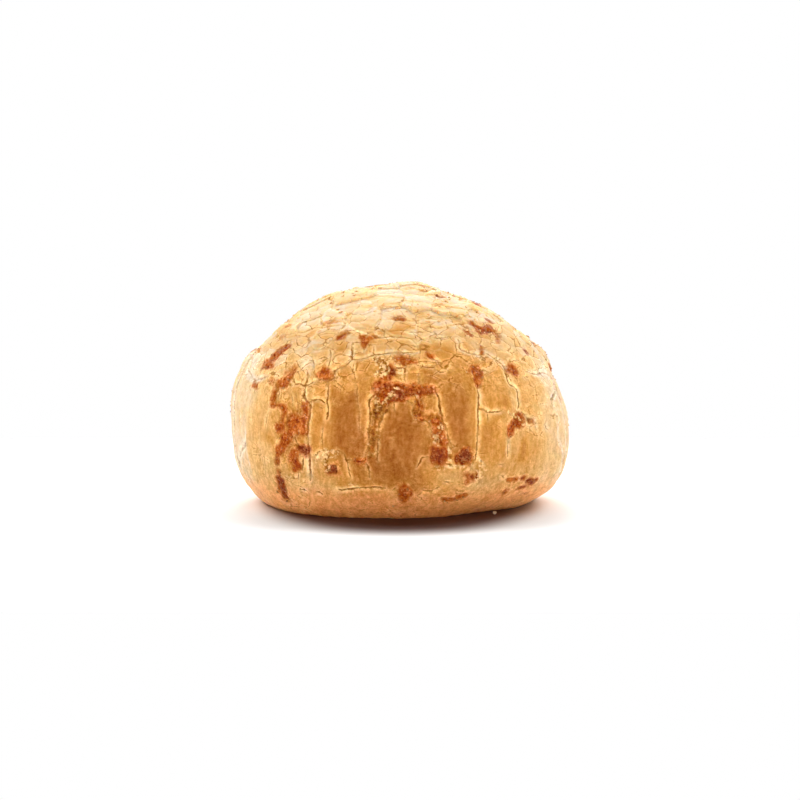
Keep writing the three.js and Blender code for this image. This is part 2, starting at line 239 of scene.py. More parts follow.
Tear = namedtuple("Tear", "depth toast turns")
TEARS = {
    "main tear": Tear(0.65, 0.85, (
        (381, 388, 7.5), (392, 390, 9.5), (403, 391.5, 7.5), (411, 390, 4.5), (422, 389.5, 3.5),
        (431, 389.5, 3.5)
    )),
    "main tear left": Tear(0.4, 0.6, ((378, 393, 4), (381, 400, 3.5))),
    "over the blocks": Tear(0.35, 0.6, ((398, 358, 3.5), (403, 360, 4.5), (410, 361, 3), (414, 362, 1))),
    "crumbled dark": Tear(0.5, 1.05, ((388, 366.5, 1.2), (391, 371, 2))),
    "crumbled rust": Tear(0.3, 0.7, ((380, 378, 1.5), (387, 378, 2))),
    "middle gutter": Tear(0.5, 0.38, (
        (378, 405, 3.5), (375, 412, 4), (373, 422, 3.5), (372, 434, 3.2), (371, 445, 3), (369, 455, 2.2)
    )),
    "middle gutter corner": Tear(0.45, 0.45, ((384, 402, 3), (385, 409, 2.5))),
    "block gutter": Tear(0.5, 0.5, ((419, 394, 2), (417, 401, 3), (417, 409, 4), (418, 415, 3.5))),
    "small plate foot": Tear(0.4, 0.42, ((424, 416, 1.8), (431, 416, 2), (438, 417, 2.2))),
    "right gutter": Tear(0.5, 0.6, ((434, 420, 3.5), (437, 427, 5), (439, 435, 4.5), (442, 442, 3.5))),
    "first square": Tear(0.55, 0.9, ((435, 452, 5.6), (436, 459, 5.6), (441, 458, 4.4), (441, 451, 3.8))),
    "second square": Tear(0.55, 0.95, ((459, 458, 4.4), (465, 456, 6.9), (469, 459, 3.8))),
    "below the squares": Tear(0.35, 0.95, ((466, 475, 2.2), (471, 476, 3))),
    "below the squares tail": Tear(0.2, 0.7, ((465, 482, 1.5), (466, 482, 1.5))),
    "top knot": Tear(0.5, 0.75, ((472, 369, 3.1), (477, 369, 3.8), (476, 376, 2.8), (477, 383, 1.6))),
    "shoulder corner": Tear(0.4, 0.85, ((507, 369, 1.5), (511, 368, 3.5), (513, 371, 3))),
    "shoulder knot": Tear(0.5, 0.8, ((512, 422, 3.1), (516, 418, 4), (520, 414, 3.5), (520, 421, 4))),
    "shoulder knot tail": Tear(0.4, 0.75, ((510, 428, 2.2), (510, 433, 1.8))),
    "step patch": Tear(0.3, 0.5, ((528, 420, 1.2), (533, 421, 2.3))),
    "foot slit": Tear(0.35, 0.8, ((353, 460.5, 1), (359, 461.5, 2), (363, 460, 1.5))),
    "left slash": Tear(0.5, 0.65, ((283, 347, 4), (278, 351, 5), (273, 356, 4.1))),
    "left slash tail": Tear(0.4, 0.55, ((268, 360, 3.2), (263, 364, 2.5))),
    "left slash lip": Tear(0.4, 0.9, ((261, 366, 1), (267, 365.5, 1), (271, 366, 1.3))),
    "left slash below": Tear(0.4, 0.55, (
        (291, 367, 2.9), (289, 373, 3.8), (285, 379, 4.8), (280, 382, 4.8), (276, 383, 2.8)
    )),
    "left slash below tail": Tear(0.2, 0.4, ((270, 381, 2.5), (271, 381, 2.5))),
    "left fleck": Tear(0.3, 0.7, ((251, 383, 1.8), (254, 385, 2.3))),
    "left pair": Tear(0.3, 0.55, ((273, 392, 1.8), (272, 398, 2.2))),
    "left nook": Tear(0.4, 0.55, ((319, 374, 3.1), (324, 373, 4.8), (328, 374, 2.8))),
    "arch": Tear(0.4, 0.75, (
        (270, 405, 0.8), (274, 404.5, 1), (279, 404.5, 1.6), (283, 407, 1.8), (284, 411, 1.8),
        (281, 418, 1.4), (282, 428, 1.4)
    )),
    "arch knot": Tear(0.4, 1.05, ((279, 405, 1.2), (283, 408, 1.5))),
    "striped patch": Tear(0.25, 0.6, ((291, 418, 4.4), (292, 425, 6.9), (299, 427, 6.2))),
    "striped patch side": Tear(0.3, 0.85, (
        (303, 405, 2.5), (305, 412, 2.2), (303, 420, 2.8), (303, 425, 2.5)
    )),
    "left oval": Tear(0.2, 0.6, ((292, 456, 3.8), (293, 460, 5), (295, 466, 3.5))),
    "left band": Tear(0.45, 0.6, (
        (289, 433, 3.1), (286, 438, 4.1), (282, 443, 3.5), (279, 449, 2.5), (276, 456, 2.9),
        (276, 460, 2.2)
    )),
    "dark nick": Tear(0.45, 1.05, ((297, 447.5, 1.6), (302, 449, 2.9), (303, 452, 2.8), (307, 449, 1.8))),
    "amber spot left": Tear(0.15, 0.8, ((277, 427, 2.3), (278, 427, 2.3))),
    "lower streak": Tear(0.4, 1.0, (
        (279, 472, 1.9), (279.5, 477, 4.1), (281, 484, 4.4), (283, 491, 4.6), (286, 497, 2.9)
    )),
    "pit": Tear(1.0, 1, ((327, 468, 3.1), (331, 468, 3.5), (334, 472, 2.2))),
    "skirt spot": Tear(0.3, 0.75, ((402, 488, 3.8), (404, 494, 4.6), (403, 499, 3.1))),
    "base slit": Tear(0.4, 1.25, ((393, 507, 1), (400, 507.5, 1.8), (408, 507, 0.8))),
    "base slit left": Tear(0.3, 1.1, ((334, 510, 1.2), (340, 510, 2.2), (346, 510, 1.2))),
    "skirt rust": Tear(0.2, 0.75, ((442, 499.5, 1.2), (451, 501, 1.4))),
    "skirt rust right": Tear(0.2, 0.7, ((456, 498, 0.8), (464, 496, 1.5))),
    "right low streak": Tear(0.2, 0.65, ((510, 481, 1.2), (518, 480, 1.2))),
    "right low dark": Tear(0.35, 1, ((530, 482, 2), (534, 484, 2.5), (537, 481, 1.5))),
    "right low bar": Tear(0.25, 1.0, ((519, 491, 1.2), (526, 489, 1.7))),
    "right low dot": Tear(0.25, 0.9, ((506, 494, 2.3), (507, 494, 2.3))),
    "right low foot": Tear(0.25, 1.05, ((521, 498, 1.2), (525, 497, 1.4))),
    "right low mote": Tear(0.2, 0.95, ((524, 479, 1.3), (525, 479, 1.3))),
    "crown blob": Tear(0.3, 0.35, ((324, 323, 1.8), (331, 323, 2.6), (335, 322, 1.6))),
    "crown fleck": Tear(0.25, 0.35, ((278, 338, 1.8), (283, 336, 2.3))),
    "crown fleck high": Tear(0.2, 0.4, ((284, 327, 0.9), (288, 325, 1))),
    "crown edge two": Tear(0.25, 0.4, ((254, 344, 1.8), (255, 349, 1.4))),
    "crown rust": Tear(0.3, 0.55, ((338, 337, 2.2), (344, 334, 2.2))),
    "crown blotch": Tear(0.3, 0.5, ((361, 337, 1.5), (365, 340, 3), (364, 344, 1.6))),
    "crown blotch tail": Tear(0.2, 0.55, ((368, 337.5, 1.2), (375, 336, 1))),
    "crown spot": Tear(0.35, 0.55, ((394, 317, 1.6), (400, 316, 2.4), (402, 318, 1.6))),
    "crown brow": Tear(0.25, 0.5, ((436, 296, 1.2), (444, 297, 1))),
    "crown dot": Tear(0.25, 0.95, ((465, 329, 1.4), (466, 329, 1.4))),
    "crown dot below": Tear(0.15, 0.5, ((468, 333, 2.4), (469, 333, 2.4))),
    "right slash": Tear(0.4, 0.75, (
        (470, 323, 1.5), (475, 326.5, 1.6), (480, 329, 3.2), (486, 329, 3.8), (490, 327, 2.8)
    )),
    "right slash dot": Tear(0.25, 0.85, ((486, 320, 1.4), (488, 321, 1.2))),
    "right spray": Tear(0.2, 0.5, ((494, 330, 0.8), (497, 333, 1.3), (497, 341, 1))),
    "right ledge stem": Tear(0.3, 0.6, ((481, 347, 0.9), (482, 352, 1.4))),
    "tall plate fleck": Tear(0.2, 0.6, ((427, 353, 1.2), (431, 354.5, 1.5))),
    "edge knob": Tear(0.3, 1.3, ((532, 341, 1.6), (535, 343, 1.3))),
    "edge knob low": Tear(0.25, 1.15, ((525, 350, 1.5), (526, 350, 1.5))),
}

Crumble = namedtuple("Crumble", "amount turns")
CRUMBLES = {
    "crumbled patch": Crumble(0.9, ((375, 358, 4), (382, 362, 5), (383, 371, 5), (376, 374, 3))),
    "crumbled patch right": Crumble(0.6, ((391, 357, 3), (393, 362, 2))),
    "first block": Crumble(0.5, ((398, 373, 4), (399, 373, 4))),
    "pit rim": Crumble(1.0, ((325, 456, 3), (324, 462, 2.5), (325, 470, 2))),
    "pit crust": Crumble(0.5, ((314, 458, 5), (322, 452, 4), (333, 454, 4))),
    "pale column": Crumble(0.5, ((449, 449, 3), (449, 460, 3))),
    "under the squares": Crumble(0.6, ((433, 467, 2), (443, 468, 2), (455, 466, 2.5), (462, 466, 2))),
    "right ripples": Crumble(0.5, ((479, 461, 4), (480, 470, 6), (478, 482, 5))),
    "knob": Crumble(0.6, ((413, 396, 2.5), (414, 396, 2.5))),
    "tear grains": Crumble(0.7, ((393, 388, 2.5), (388, 397, 3), (384, 402, 2))),
    "gutter grains": Crumble(0.5, ((376, 397, 2.5), (377, 409, 2))),
    "shoulder grains": Crumble(0.7, ((509, 412, 2.5), (524, 423, 2), (530, 427, 1.5))),
    "left tile grains": Crumble(0.4, ((312, 388, 4), (303, 393, 2.5))),
    "left foot grains": Crumble(0.8, ((286, 476, 1.5), (296, 478, 1.8))),
    "right gutter grains": Crumble(0.7, ((434, 436, 2), (436, 443, 2), (440, 425, 3))),
    "ring grains": Crumble(0.35, ((463, 346, 2), (480, 358, 3))),
    "upper row": Crumble(0.4, ((420, 335, 5), (436, 339, 5))),
    "skirt grains": Crumble(0.4, ((345, 486, 3), (356, 487, 3))),
}

Tone = namedtuple("Tone", "across down half_width half_height amount")
TONES = {
    "front shade": Tone(385, 450, 62, 60, 0.5),
    "broad plate": Tone(345, 405, 20, 40, 0.22),
    "broad plate foot": Tone(345, 442, 22, 18, 0.2),
    "middle plate": Tone(402, 448, 24, 34, 0.22),
    "middle plate top": Tone(400, 412, 12, 14, 0.2),
    "tall plate": Tone(458, 390, 18, 30, 0.32),
    "tall plate low": Tone(460, 430, 16, 24, 0.42),
    "tall plate crown": Tone(444, 350, 16, 10, 0.3),
    "cross plate": Tone(490, 388, 12, 18, 0.2),
    "cross plate spot": Tone(503, 400, 6, 8, 0.35),
    "lower plate": Tone(489, 438, 14, 22, 0.18),
    "right plate": Tone(526, 452, 15, 16, 0.15),
    "right plate spot": Tone(521, 450, 6, 9, 0.45),
    "left tile": Tone(315, 425, 10, 30, 0.1),
    "left amber": Tone(267, 436, 8, 12, 0.25),
    "left stripes": Tone(295, 420, 12, 18, 0.25),
    "skirt left": Tone(310, 490, 26, 12, -0.35),
    "skirt right": Tone(470, 485, 40, 12, -0.2),
    "under the squares": Tone(440, 474, 26, 8, -0.2),
    "blocks": Tone(420, 376, 12, 9, 0.1),
    "dark mole": Tone(412, 443, 3.5, 3.5, 0.9),
    "dark mole left": Tone(350, 396, 4, 5, 0.5),
    "upper left": Tone(300, 352, 26, 20, -0.18),
    "ring right": Tone(470, 345, 16, 10, -0.12),
    "pit rim": Tone(322, 462, 18, 14, -0.2),
    "pale column right": Tone(511, 402, 6, 16, -0.3),
    "crown mark": Tone(372, 303, 3, 7, 0.6),
    "crown mark left": Tone(342, 315, 3, 4, 0.45),
    "crown smear left": Tone(307, 332, 7, 4, 0.5),
    "crown band": Tone(389, 331, 14, 3, 0.5),
    "crown streak": Tone(415, 311, 8, 6, 0.5),
    "crown amber": Tone(411, 325, 9, 4, 0.5),
    "crown brow": Tone(453, 317, 7, 3, 0.4),
    "crown edge right": Tone(473, 307, 9, 4, 0.5),
    "crown line": Tone(361, 326, 6, 3, 0.4),
    "upper amber": Tone(338, 348, 5, 4, 0.45),
    "upper olive": Tone(338, 363, 6, 3, 0.45),
    "right ledge": Tone(462, 340, 7, 4, 0.4),
    "left band": Tone(285, 440, 8, 14, 0.35),
    "left group": Tone(296, 424, 10, 20, 0.3),
}

# ---- Plates, ledges and colour zones, in millimetres ----

WALL_SPACING = 9.0
CROWN_SPACING = 5.2
PLATE_SCATTER = 0.42  # how far a seed strays from its even place, as a share of the spacing
PLATE_LIFT = 0.3  # plates stand proud or sunk by up to this
PLATE_DOME = 0.34  # a plate's edges sink by this
DOME_REACH = 1.7  # over this distance from the crack
WALL_STRETCH = 0.6  # plates on the wall are taller than wide
CROWN_FROM = 26.0  # above this height the wall turns into the crown
CROWN_FADE = 6.0
SEED_LOWEST = 3.0
FRONT_EDGE = 64.0  # degrees either side, where the front's own cracks give way to plates
FRONT_TOP = 31.0
FRONT_FADE = 3.5
UNCRACKED_BELOW = 1.2
UNCRACKED_FADE = 2.0

LEDGE_SPACING = 2.9
LEDGE_RISE = 0.12
LEDGE_SHIFT = 1.6  # each plate's ledges are shifted by up to this
LEDGE_WANDER = 2.6
LEDGE_WAVE = 6.0

RING_HEIGHT = 27.2  # where the wall ends and the crown's ledges begin
CROWN_TONE = 0.1  # 0 is cream, 0.3 straw, 0.75 amber and 1.2 deep amber
WALL_TONE = 0.6
TONE_FALLS = 25.0, 37.5  # the heights between which the skin pales from the wall's tone to the crown's
PALE_FROM, PALE_FULL = 36.0, 74.0  # degrees from the front or the back, over which the wall pales as painted rim light
# Painted rim light: the paler tone that the sides turn to, where grazing light washes the skin out
SIDE_RIM_LIGHT_TONE = 0.19
PLATE_TONE = 0.1  # a plate is darker or paler than its place by up to this

NOISE_STRIDES = np.array((73856093, 19349663, 83492791))
UPWARDS = np.array((0.0, 0.0, 1.0))
STEEPEST = 0.72 * math.pi  # from straight up, the furthest down that a place on the side is looked for
HALVINGS = 30
AIM_SUBDIVISIONS = 6
SLOPE_STEP = 0.01


def clamp(value):
    return np.clip(value, 0.0, 1.0)


def smooth(value):
    share = clamp(value)
    return share * share * (3 - 2 * share)


def random(index):
    """A repeatable random number from 0 to 1 for each whole number."""
    h = (np.atleast_1d(index).astype(np.int64) & 0xFFFFFFFF).astype(np.uint32)
    h = (h ^ np.uint32(0x9E3779B9)) * np.uint32(0x85EBCA6B)
    h = (h ^ (h >> np.uint32(13))) * np.uint32(0xC2B2AE35)
    return (h ^ (h >> np.uint32(16))) / 2.0**32


def noise(points, wave, shift=(0.0, 0.0, 0.0)):
    """Smooth noise from -1 to 1 at each point."""
    scaled = points / np.asarray(wave) + np.array(shift)
    cell = np.floor(scaled)
    share = smooth(scaled - cell)
    cell = cell.astype(np.int64)
    total = np.zeros(len(points))
    for corner in itertools.product((0, 1), repeat=3):
        weight = np.where(np.array(corner, bool), share, 1 - share).prod(axis=1)
        total += weight * random(((cell + corner) * NOISE_STRIDES).sum(axis=1))
    return 2 * total - 1


def form(ways):
    """The bare form: the point of the bun's skin in each direction from the middle of the belly."""
    across = np.hypot(ways[:, 0], ways[:, 1])
    upper = ways[:, 2] >= 0
    power = np.where(upper, CROWN_POWER, UNDER_POWER)
    reach = np.where(upper, HEIGHT - BELLY_HEIGHT, UNDER_REACH)
    length = ((across / HALF_WIDTH) ** power + (np.abs(ways[:, 2]) / reach) ** power) ** (-1 / power)
    points = ways * length[:, None] * (1, DEPTH_SHARE, 1)
    side = points[:, 0] / HALF_WIDTH
    under = smooth(-points[:, 2] / BELLY_HEIGHT)
    height = points[:, 2] + BELLY_HEIGHT + UNDER_TILT * side * under
    points[:, 2] = height - CROWN_SLANT * side * np.sin(np.pi * clamp(height / HEIGHT))
    return points


def icosphere(subdivisions):
    """Unit directions and triangles of a sphere."""
    sphere = bmesh.new()
    bmesh.ops.create_icosphere(sphere, subdivisions=subdivisions, radius=1.0)
    ways = np.array([vertex.co[:] for vertex in sphere.verts])
    faces = np.array([[vertex.index for vertex in face.verts] for face in sphere.faces])
    sphere.free()
    return ways / np.linalg.norm(ways, axis=1)[:, None], faces


def directions(rounds, polars):
    """Unit directions from degrees round and angles down from straight up."""
    angles = np.radians(rounds)
    across = np.sin(polars)
    return np.stack([across * np.sin(angles), -across * np.cos(angles), np.cos(polars)], axis=1)


def places(rounds, heights):
    """Points of the bare form at heights, found by halving the angle down from the crown."""
    rounds, heights = np.asarray(rounds, float), np.asarray(heights, float)
    above, below = np.zeros(len(rounds)), np.full(len(rounds), STEEPEST)
    for _ in range(HALVINGS):
        middle = (above + below) / 2
        higher = form(directions(rounds, middle))[:, 2] > heights
        above, below = np.where(higher, middle, above), np.where(higher, below, middle)
    return form(directions(rounds, above))


def seen(across, down):
    """Points of the bare form under these pixels, or nearest to them where they miss it."""
    ways, faces = icosphere(AIM_SUBDIVISIONS)
    skin = BVHTree.FromPolygons(form(ways).tolist(), faces.tolist())
    right, up = PIXEL * (across - PICTURE / 2), PIXEL * (PICTURE / 2 - down)
    aims = CAMERA_AIM + right[:, None] * CAMERA_RIGHT + up[:, None] * CAMERA_UP
    hits = [skin.ray_cast(CAMERA_AT, aim - CAMERA_AT)[0] or skin.find_nearest(aim)[0] for aim in aims]
    return np.array([hit[:] for hit in hits])


def normals_at(ways):
    """The bare form's outward normals, from its slope over a small step either way."""
    side = np.cross(UPWARDS, ways)
    side[np.linalg.norm(side, axis=1) < 1e-3] = (1, 0, 0)
    side *= SLOPE_STEP / np.linalg.norm(side, axis=1)[:, None]
    up = np.cross(ways, side)
    across = form(ways + side) - form(ways - side)
    rise = form(ways + up) - form(ways - up)
    normals = np.cross(across, rise)
    return normals / np.linalg.norm(normals, axis=1)[:, None]


def degrees_from_front(points):
    return np.abs(np.degrees(np.arctan2(points[:, 0], -points[:, 1])))


def crown_share(points):
    """0 on the wall and 1 on the crown."""
    return smooth((points[:, 2] - CROWN_FROM) / CROWN_FADE)


def wander(points, by, wave, salt):
    """Points moved a little by smooth noise, so that what is drawn there wobbles."""
    shifts = ((salt, 0, 0), (0, salt + 31, 0), (0, 0, salt + 67))
    return points + by * np.stack([noise(points, wave, shift) for shift in shifts], axis=1)


# ---- Lines and spots over the crust ----

Line = namedtuple("Line", "points widths depth toast")
Spot = namedtuple("Spot", "point reach toast")
CRACK_TOAST = 0.3
TURN_PIXELS = 5  # a line over the front gets a point about this often
RUN_STEP = 1.0
CRACK_SEED, TEAR_SEED, SPOT_SEED = 23, 41, 57
RING_OVERLAP = 12  # degrees by which the ring of the back runs on into the front
RING_START, RING_LOW, RING_HIGH = 24.5, 22.5, 28
BACK_CRACKS, GUTTERS, BACK_TEARS, CROWN_TEARS = 26, 13, 28, 8
BACK_SPOTS, CROWN_SPOTS = 110, 18


def evenly(turns, step):
    """The turns of a route, with more between them so that they lie about a step apart."""
    runs = np.hypot(*np.diff(turns[:, :2], axis=0).T)
    along = np.concatenate([[0], np.cumsum(runs)])
    marks = np.linspace(0, along[-1], max(2, round(along[-1] / step) + 1))
    return [np.interp(marks, along, column) for column in turns.T]


def front_lines():
    """The front's cracks, tears and crumbled patches, each from its turns as seen."""
    rows = [(turns, half_width, depth, CRACK_TOAST) for half_width, depth, turns in CRACKS.values()]
    rows += [(turns, None, depth, toast) for depth, toast, turns in TEARS.values()]
    rows += [(turns, None, amount, 0.0) for amount, turns in CRUMBLES.values()]
    routes = []
    for turns, half_width, _, _ in rows:
        table = np.array([turn if half_width is None else (*turn, half_width) for turn in turns], float)
        routes.append(evenly(table, TURN_PIXELS))
    points = seen(*(np.concatenate([route[axis] for route in routes]) for axis in (0, 1)))
    pieces = np.split(points, np.cumsum([len(route[0]) for route in routes])[:-1])
    lines = [
        Line(piece, PIXEL * route[2], depth, toast)
        for piece, route, (_, _, depth, toast) in zip(pieces, routes, rows)
    ]
    tears_from, crumbles_from = len(CRACKS), len(CRACKS) + len(TEARS)
    return lines[:tears_from], lines[tears_from:crumbles_from], lines[crumbles_from:]


def run_line(turns, widths, depth, toast):
    """A line through places given as degrees round and millimetres up."""
    table = np.array([(math.radians(round_) * HALF_WIDTH, height) for round_, height in turns])
    around, heights = evenly(table, RUN_STEP)
    spread = np.interp(np.linspace(0, 1, len(around)), np.linspace(0, 1, len(widths)), widths)
    return Line(places(np.degrees(around / HALF_WIDTH), heights), spread, depth, toast)


def back_cracks():
    """The ring where wall meets crown, carried round the back, and short cracks beside it."""
    pick = np.random.default_rng(CRACK_SEED)
    lines = []
    round_, height = FRONT_EDGE - RING_OVERLAP, RING_START
    while round_ < 360 - FRONT_EDGE + RING_OVERLAP:
        turns = [(round_, height)]
        for _ in range(pick.integers(3, 6)):
            round_ += pick.uniform(5, 9)
            height = np.clip(height + pick.uniform(-1.4, 1.5), RING_LOW, RING_HIGH)
            turns.append((round_, height))
        lines.append(run_line(turns, [0.13], pick.uniform(0.35, 0.55), CRACK_TOAST))
        round_ += pick.uniform(-3, 5)
        height = np.clip(height + pick.uniform(-1.5, 1.5), RING_LOW, RING_HIGH)
    for _ in range(BACK_CRACKS):
        start = pick.uniform(66, 294), pick.uniform(3.5, 27)
        end = start[0] + pick.uniform(-7, 7), max(2.5, start[1] + pick.uniform(-3, 3))
        lines.append(run_line([start, end], [0.12], pick.uniform(0.2, 0.4), CRACK_TOAST))
    return lines


def back_tears():
    """Gutters and tears of the back and the crown."""
    pick = np.random.default_rng(TEAR_SEED)
    lines = []
    for index in range(GUTTERS):
        turns = [(78 + 16 * index + pick.uniform(-6, 6), pick.uniform(13, 27))]
        for _ in range(pick.integers(2, 5)):
            turns.append((turns[-1][0] + pick.uniform(-5, 5), turns[-1][1] - pick.uniform(0.6, 3.2)))
        widths = pick.uniform(0.1, 1.0, len(turns))
        lines.append(run_line(turns, widths, 0.4, pick.uniform(0.45, 0.8)))
    for _ in range(BACK_TEARS):
        start = pick.uniform(84, 276), pick.uniform(3.5, 33)
        end = start[0] + pick.uniform(-6, 6), max(2.5, start[1] + pick.uniform(-3, 3))
        widths = pick.uniform(0.1, 1.0, 3)
        lines.append(run_line([start, end], widths, 0.35, pick.uniform(0.5, 1.0)))
    for _ in range(CROWN_TEARS):
        start = pick.uniform(80, 280), pick.uniform(31, 37.5)
        end = start[0] + pick.uniform(5, 14), start[1]
        widths = pick.uniform(0.15, 0.5, 2)
        lines.append(run_line([start, end], widths, 0.25, pick.uniform(0.3, 0.8)))
    return lines


def back_spots():
    """Small browned spots of the back, and a few on the crown."""
    pick = np.random.default_rng(SPOT_SEED)
    table = []
    for _ in range(BACK_SPOTS):
        height = 36.5 * pick.uniform(0.08, 1) ** 0.8
        table.append((pick.uniform(66, 294), height, pick.uniform(0.2, 0.6), pick.uniform(0.4, 1.1)))
    for _ in range(CROWN_SPOTS):
        place = pick.uniform(-66, 66), pick.uniform(31, 37.5)
        table.append((*place, pick.uniform(0.2, 0.4), pick.uniform(0.3, 0.6)))
    rounds, heights, reaches, toasts = np.array(table).T
    return [Spot(*row) for row in zip(places(rounds, heights), reaches, toasts)]


def nearest_on_line(points, line):
    """The step from each point to the nearest on a line, how far along it that is, and the width there."""
    start, run = line.points[:-1], np.diff(line.points, axis=0)
    share = clamp(((points[:, None] - start) * run).sum(axis=2) / (run * run).sum(axis=1))
    towards = start + share[..., None] * run - points[:, None]
    best = np.argmin((towards * towards).sum(axis=2), axis=1)
    rows = np.arange(len(points))
    along = best + share[rows, best]
    width = np.interp(along, np.arange(len(line.widths)), line.widths)
    return towards[rows, best], along / len(run), width


# ---- Plates and ledges ----

BATCH = 20000


def plate_space(points):
    """Distances over the wall are shrunk upwards, so that plates come out taller there."""
    stretched = points.copy()
    stretched[:, 2] *= WALL_STRETCH + (1 - WALL_STRETCH) * crown_share(points)
    return stretched


def scatter_plates():
    """Plate seeds on a golden spiral, each strayed at random and thinned out on the wall."""
    area = 4 * math.pi * HALF_WIDTH * (HEIGHT / 2)
    count = round(area / CROWN_SPACING**2)
    golden = 180 * (3 - math.sqrt(5))
    index = np.arange(count)
    points = form(directions(index * golden, np.arccos(1 - 2 * (index + 0.5) / count)))
    stray = np.stack([2 * random(index * 7 + salt) - 1 for salt in (1, 2, 3)], axis=1)
    points += PLATE_SCATTER * CROWN_SPACING * stray
    crownward = crown_share(points)
    kept = random(index * 7 + 6) < (CROWN_SPACING / WALL_SPACING) ** 2 * (1 - crownward) + crownward
    kept &= points[:, 2] >= SEED_LOWEST
    lift = PLATE_LIFT * (2 * random(index * 7 + 4) - 1)
    return plate_space(points[kept]), lift[kept], 2 * random(index * 7 + 5)[kept] - 1


def front_share(points):
    """1 inside the front, whose cracks are drawn one by one, and 0 where plates take over."""
    span = math.degrees(FRONT_FADE / HALF_WIDTH)
    inside = smooth((FRONT_EDGE - degrees_from_front(points)) / span)
    return inside * smooth((FRONT_TOP - points[:, 2]) / FRONT_FADE)


def two_nearest(points, seeds):
    """For each point, its two nearest seeds, worked out a batch of points at a time."""
    first, second = np.empty(len(points), int), np.empty(len(points), int)
    for low in range(0, len(points), BATCH):
        part = points[low : low + BATCH]
        gaps = ((part**2).sum(axis=1)[:, None] - 2 * part @ seeds.T) + (seeds**2).sum(axis=1)
        order = np.argpartition(gaps, 1, axis=1)[:, :2]
        rows = np.arange(len(part))
        swap = gaps[rows, order[:, 0]] > gaps[rows, order[:, 1]]
        first[low : low + BATCH] = np.where(swap, order[:, 1], order[:, 0])
        second[low : low + BATCH] = np.where(swap, order[:, 0], order[:, 1])
    return first, second


def cell_edges(here, seeds):
    """The cell that each point is in, with the distance and the vector to the cell's nearest edge."""
    first, second = two_nearest(here, seeds)
    to_second = seeds[second] - seeds[first]
    apart = np.linalg.norm(to_second, axis=1)
    gap = ((here - seeds[second]) ** 2).sum(axis=1) - ((here - seeds[first]) ** 2).sum(axis=1)
    gap /= 2 * apart
    return first, gap, to_second * (gap / apart)[:, None]


def ledges(points, plate_tone):
    """The crown's low ledges: the distance to the nearest lip, the rise towards it, and how plain it is."""
    out = np.hypot(points[:, 0], points[:, 1] / DEPTH_SHARE) + LEDGE_SHIFT * plate_tone
    out = out + LEDGE_WANDER * noise(points, LEDGE_WAVE, (31, 0, 0)) + 0.7 * noise(points, 2.1, (0, 13, 0))
    share = (out / LEDGE_SPACING) % 1
    plain = smooth((points[:, 2] - RING_HEIGHT - 0.5) / 3)
    plain *= smooth(0.62 + 0.9 * noise(points, 4.2, (0, 0, 77)))
    drop = smooth((1 - share) * LEDGE_SPACING / 0.3)
    return np.minimum(share, 1 - share) * LEDGE_SPACING, share**1.4 * drop - 0.4, plain


# ---- What lies where on the crust ----

CRACK_REACH = 2.2  # a crack or tear changes nothing further off than this
FAR = 9.0
PLATE_WARP = 1.1
PLATE_WARP_WAVE = 3.1
RAGGED = 0.14
RAGGED_WAVE = 1.3
JAGGED = 0.1
JAGGED_WAVE = 0.5
CRACK_NARROW, CRACK_OPENS = 0.03, 0.1  # half the width of a crack between plates, and what opening adds
CRACK_SHALLOW, CRACK_DEEPENS = 0.1, 0.45
CROWN_CLOSES = 0.6  # the share of a plate crack's opening and depth that is gone on the crown
LEDGE_WIDTH = 0.1
LEDGE_DEPTH = 0.1
TEAR_SPREAD = 0.22
END_TAPER = 1.5  # a crack narrows over this many of its points at either end

Survey = namedtuple("Survey", "gap half_width depth towards torn tear_depth toast crumble lift tone")
Features = namedtuple("Features", "plates cracks tears crumbles")


def lay_out():
    """Everything that marks the crust: its plates, cracks, tears and crumbled patches."""
    cracks, tears, crumbles = front_lines()
    return Features(scatter_plates(), cracks + back_cracks(), tears + back_tears(), crumbles)


def beside(line, points, wandering):
    """The points a line may reach, with the step and distance to it, how far along it and its width."""
    low, high = line.points.min(axis=0) - CRACK_REACH, line.points.max(axis=0) + CRACK_REACH
    rows = np.flatnonzero(((points > low) & (points < high)).all(axis=1))
    step, along, width = nearest_on_line(wandering[rows], line)
    return rows, step, np.linalg.norm(step, axis=1), along, width


def between_plates(points, wandering, plates):
    """The cracks between the plates and the crown's ledges, with each point's plate's lift and tone."""
    seeds, lifts, tones = plates
    front = front_share(points)
    here = plate_space(points)
    here[:, 0] += PLATE_WARP * noise(points, PLATE_WARP_WAVE, (0, 0, 40))
    here[:, 1] += PLATE_WARP * noise(points, PLATE_WARP_WAVE, (70, 0, 0))
    here += wandering - points
    plate, gap, towards = cell_edges(here, seeds)
    gap = gap + FAR * front
    closing = 1 - CROWN_CLOSES * crown_share(points)
    open_share = smooth(0.5 + 0.75 * noise(points, 8.0, (3, 9, 1))) * closing
    half_width = CRACK_NARROW + CRACK_OPENS * open_share
    depth = (CRACK_SHALLOW + CRACK_DEEPENS * open_share) * closing
    lift, tone = lifts[plate] * (1 - front), tones[plate] * (1 - front)
    lip, _, plain = ledges(points, tone)
    nearer = (lip < gap) & (plain > 0.05)
    gap, half_width = np.where(nearer, lip, gap), np.where(nearer, LEDGE_WIDTH * plain, half_width)
    depth = np.where(nearer, LEDGE_DEPTH * plain, depth)
    towards[nearer] = 0
    return gap, half_width, depth, towards, lift, tone


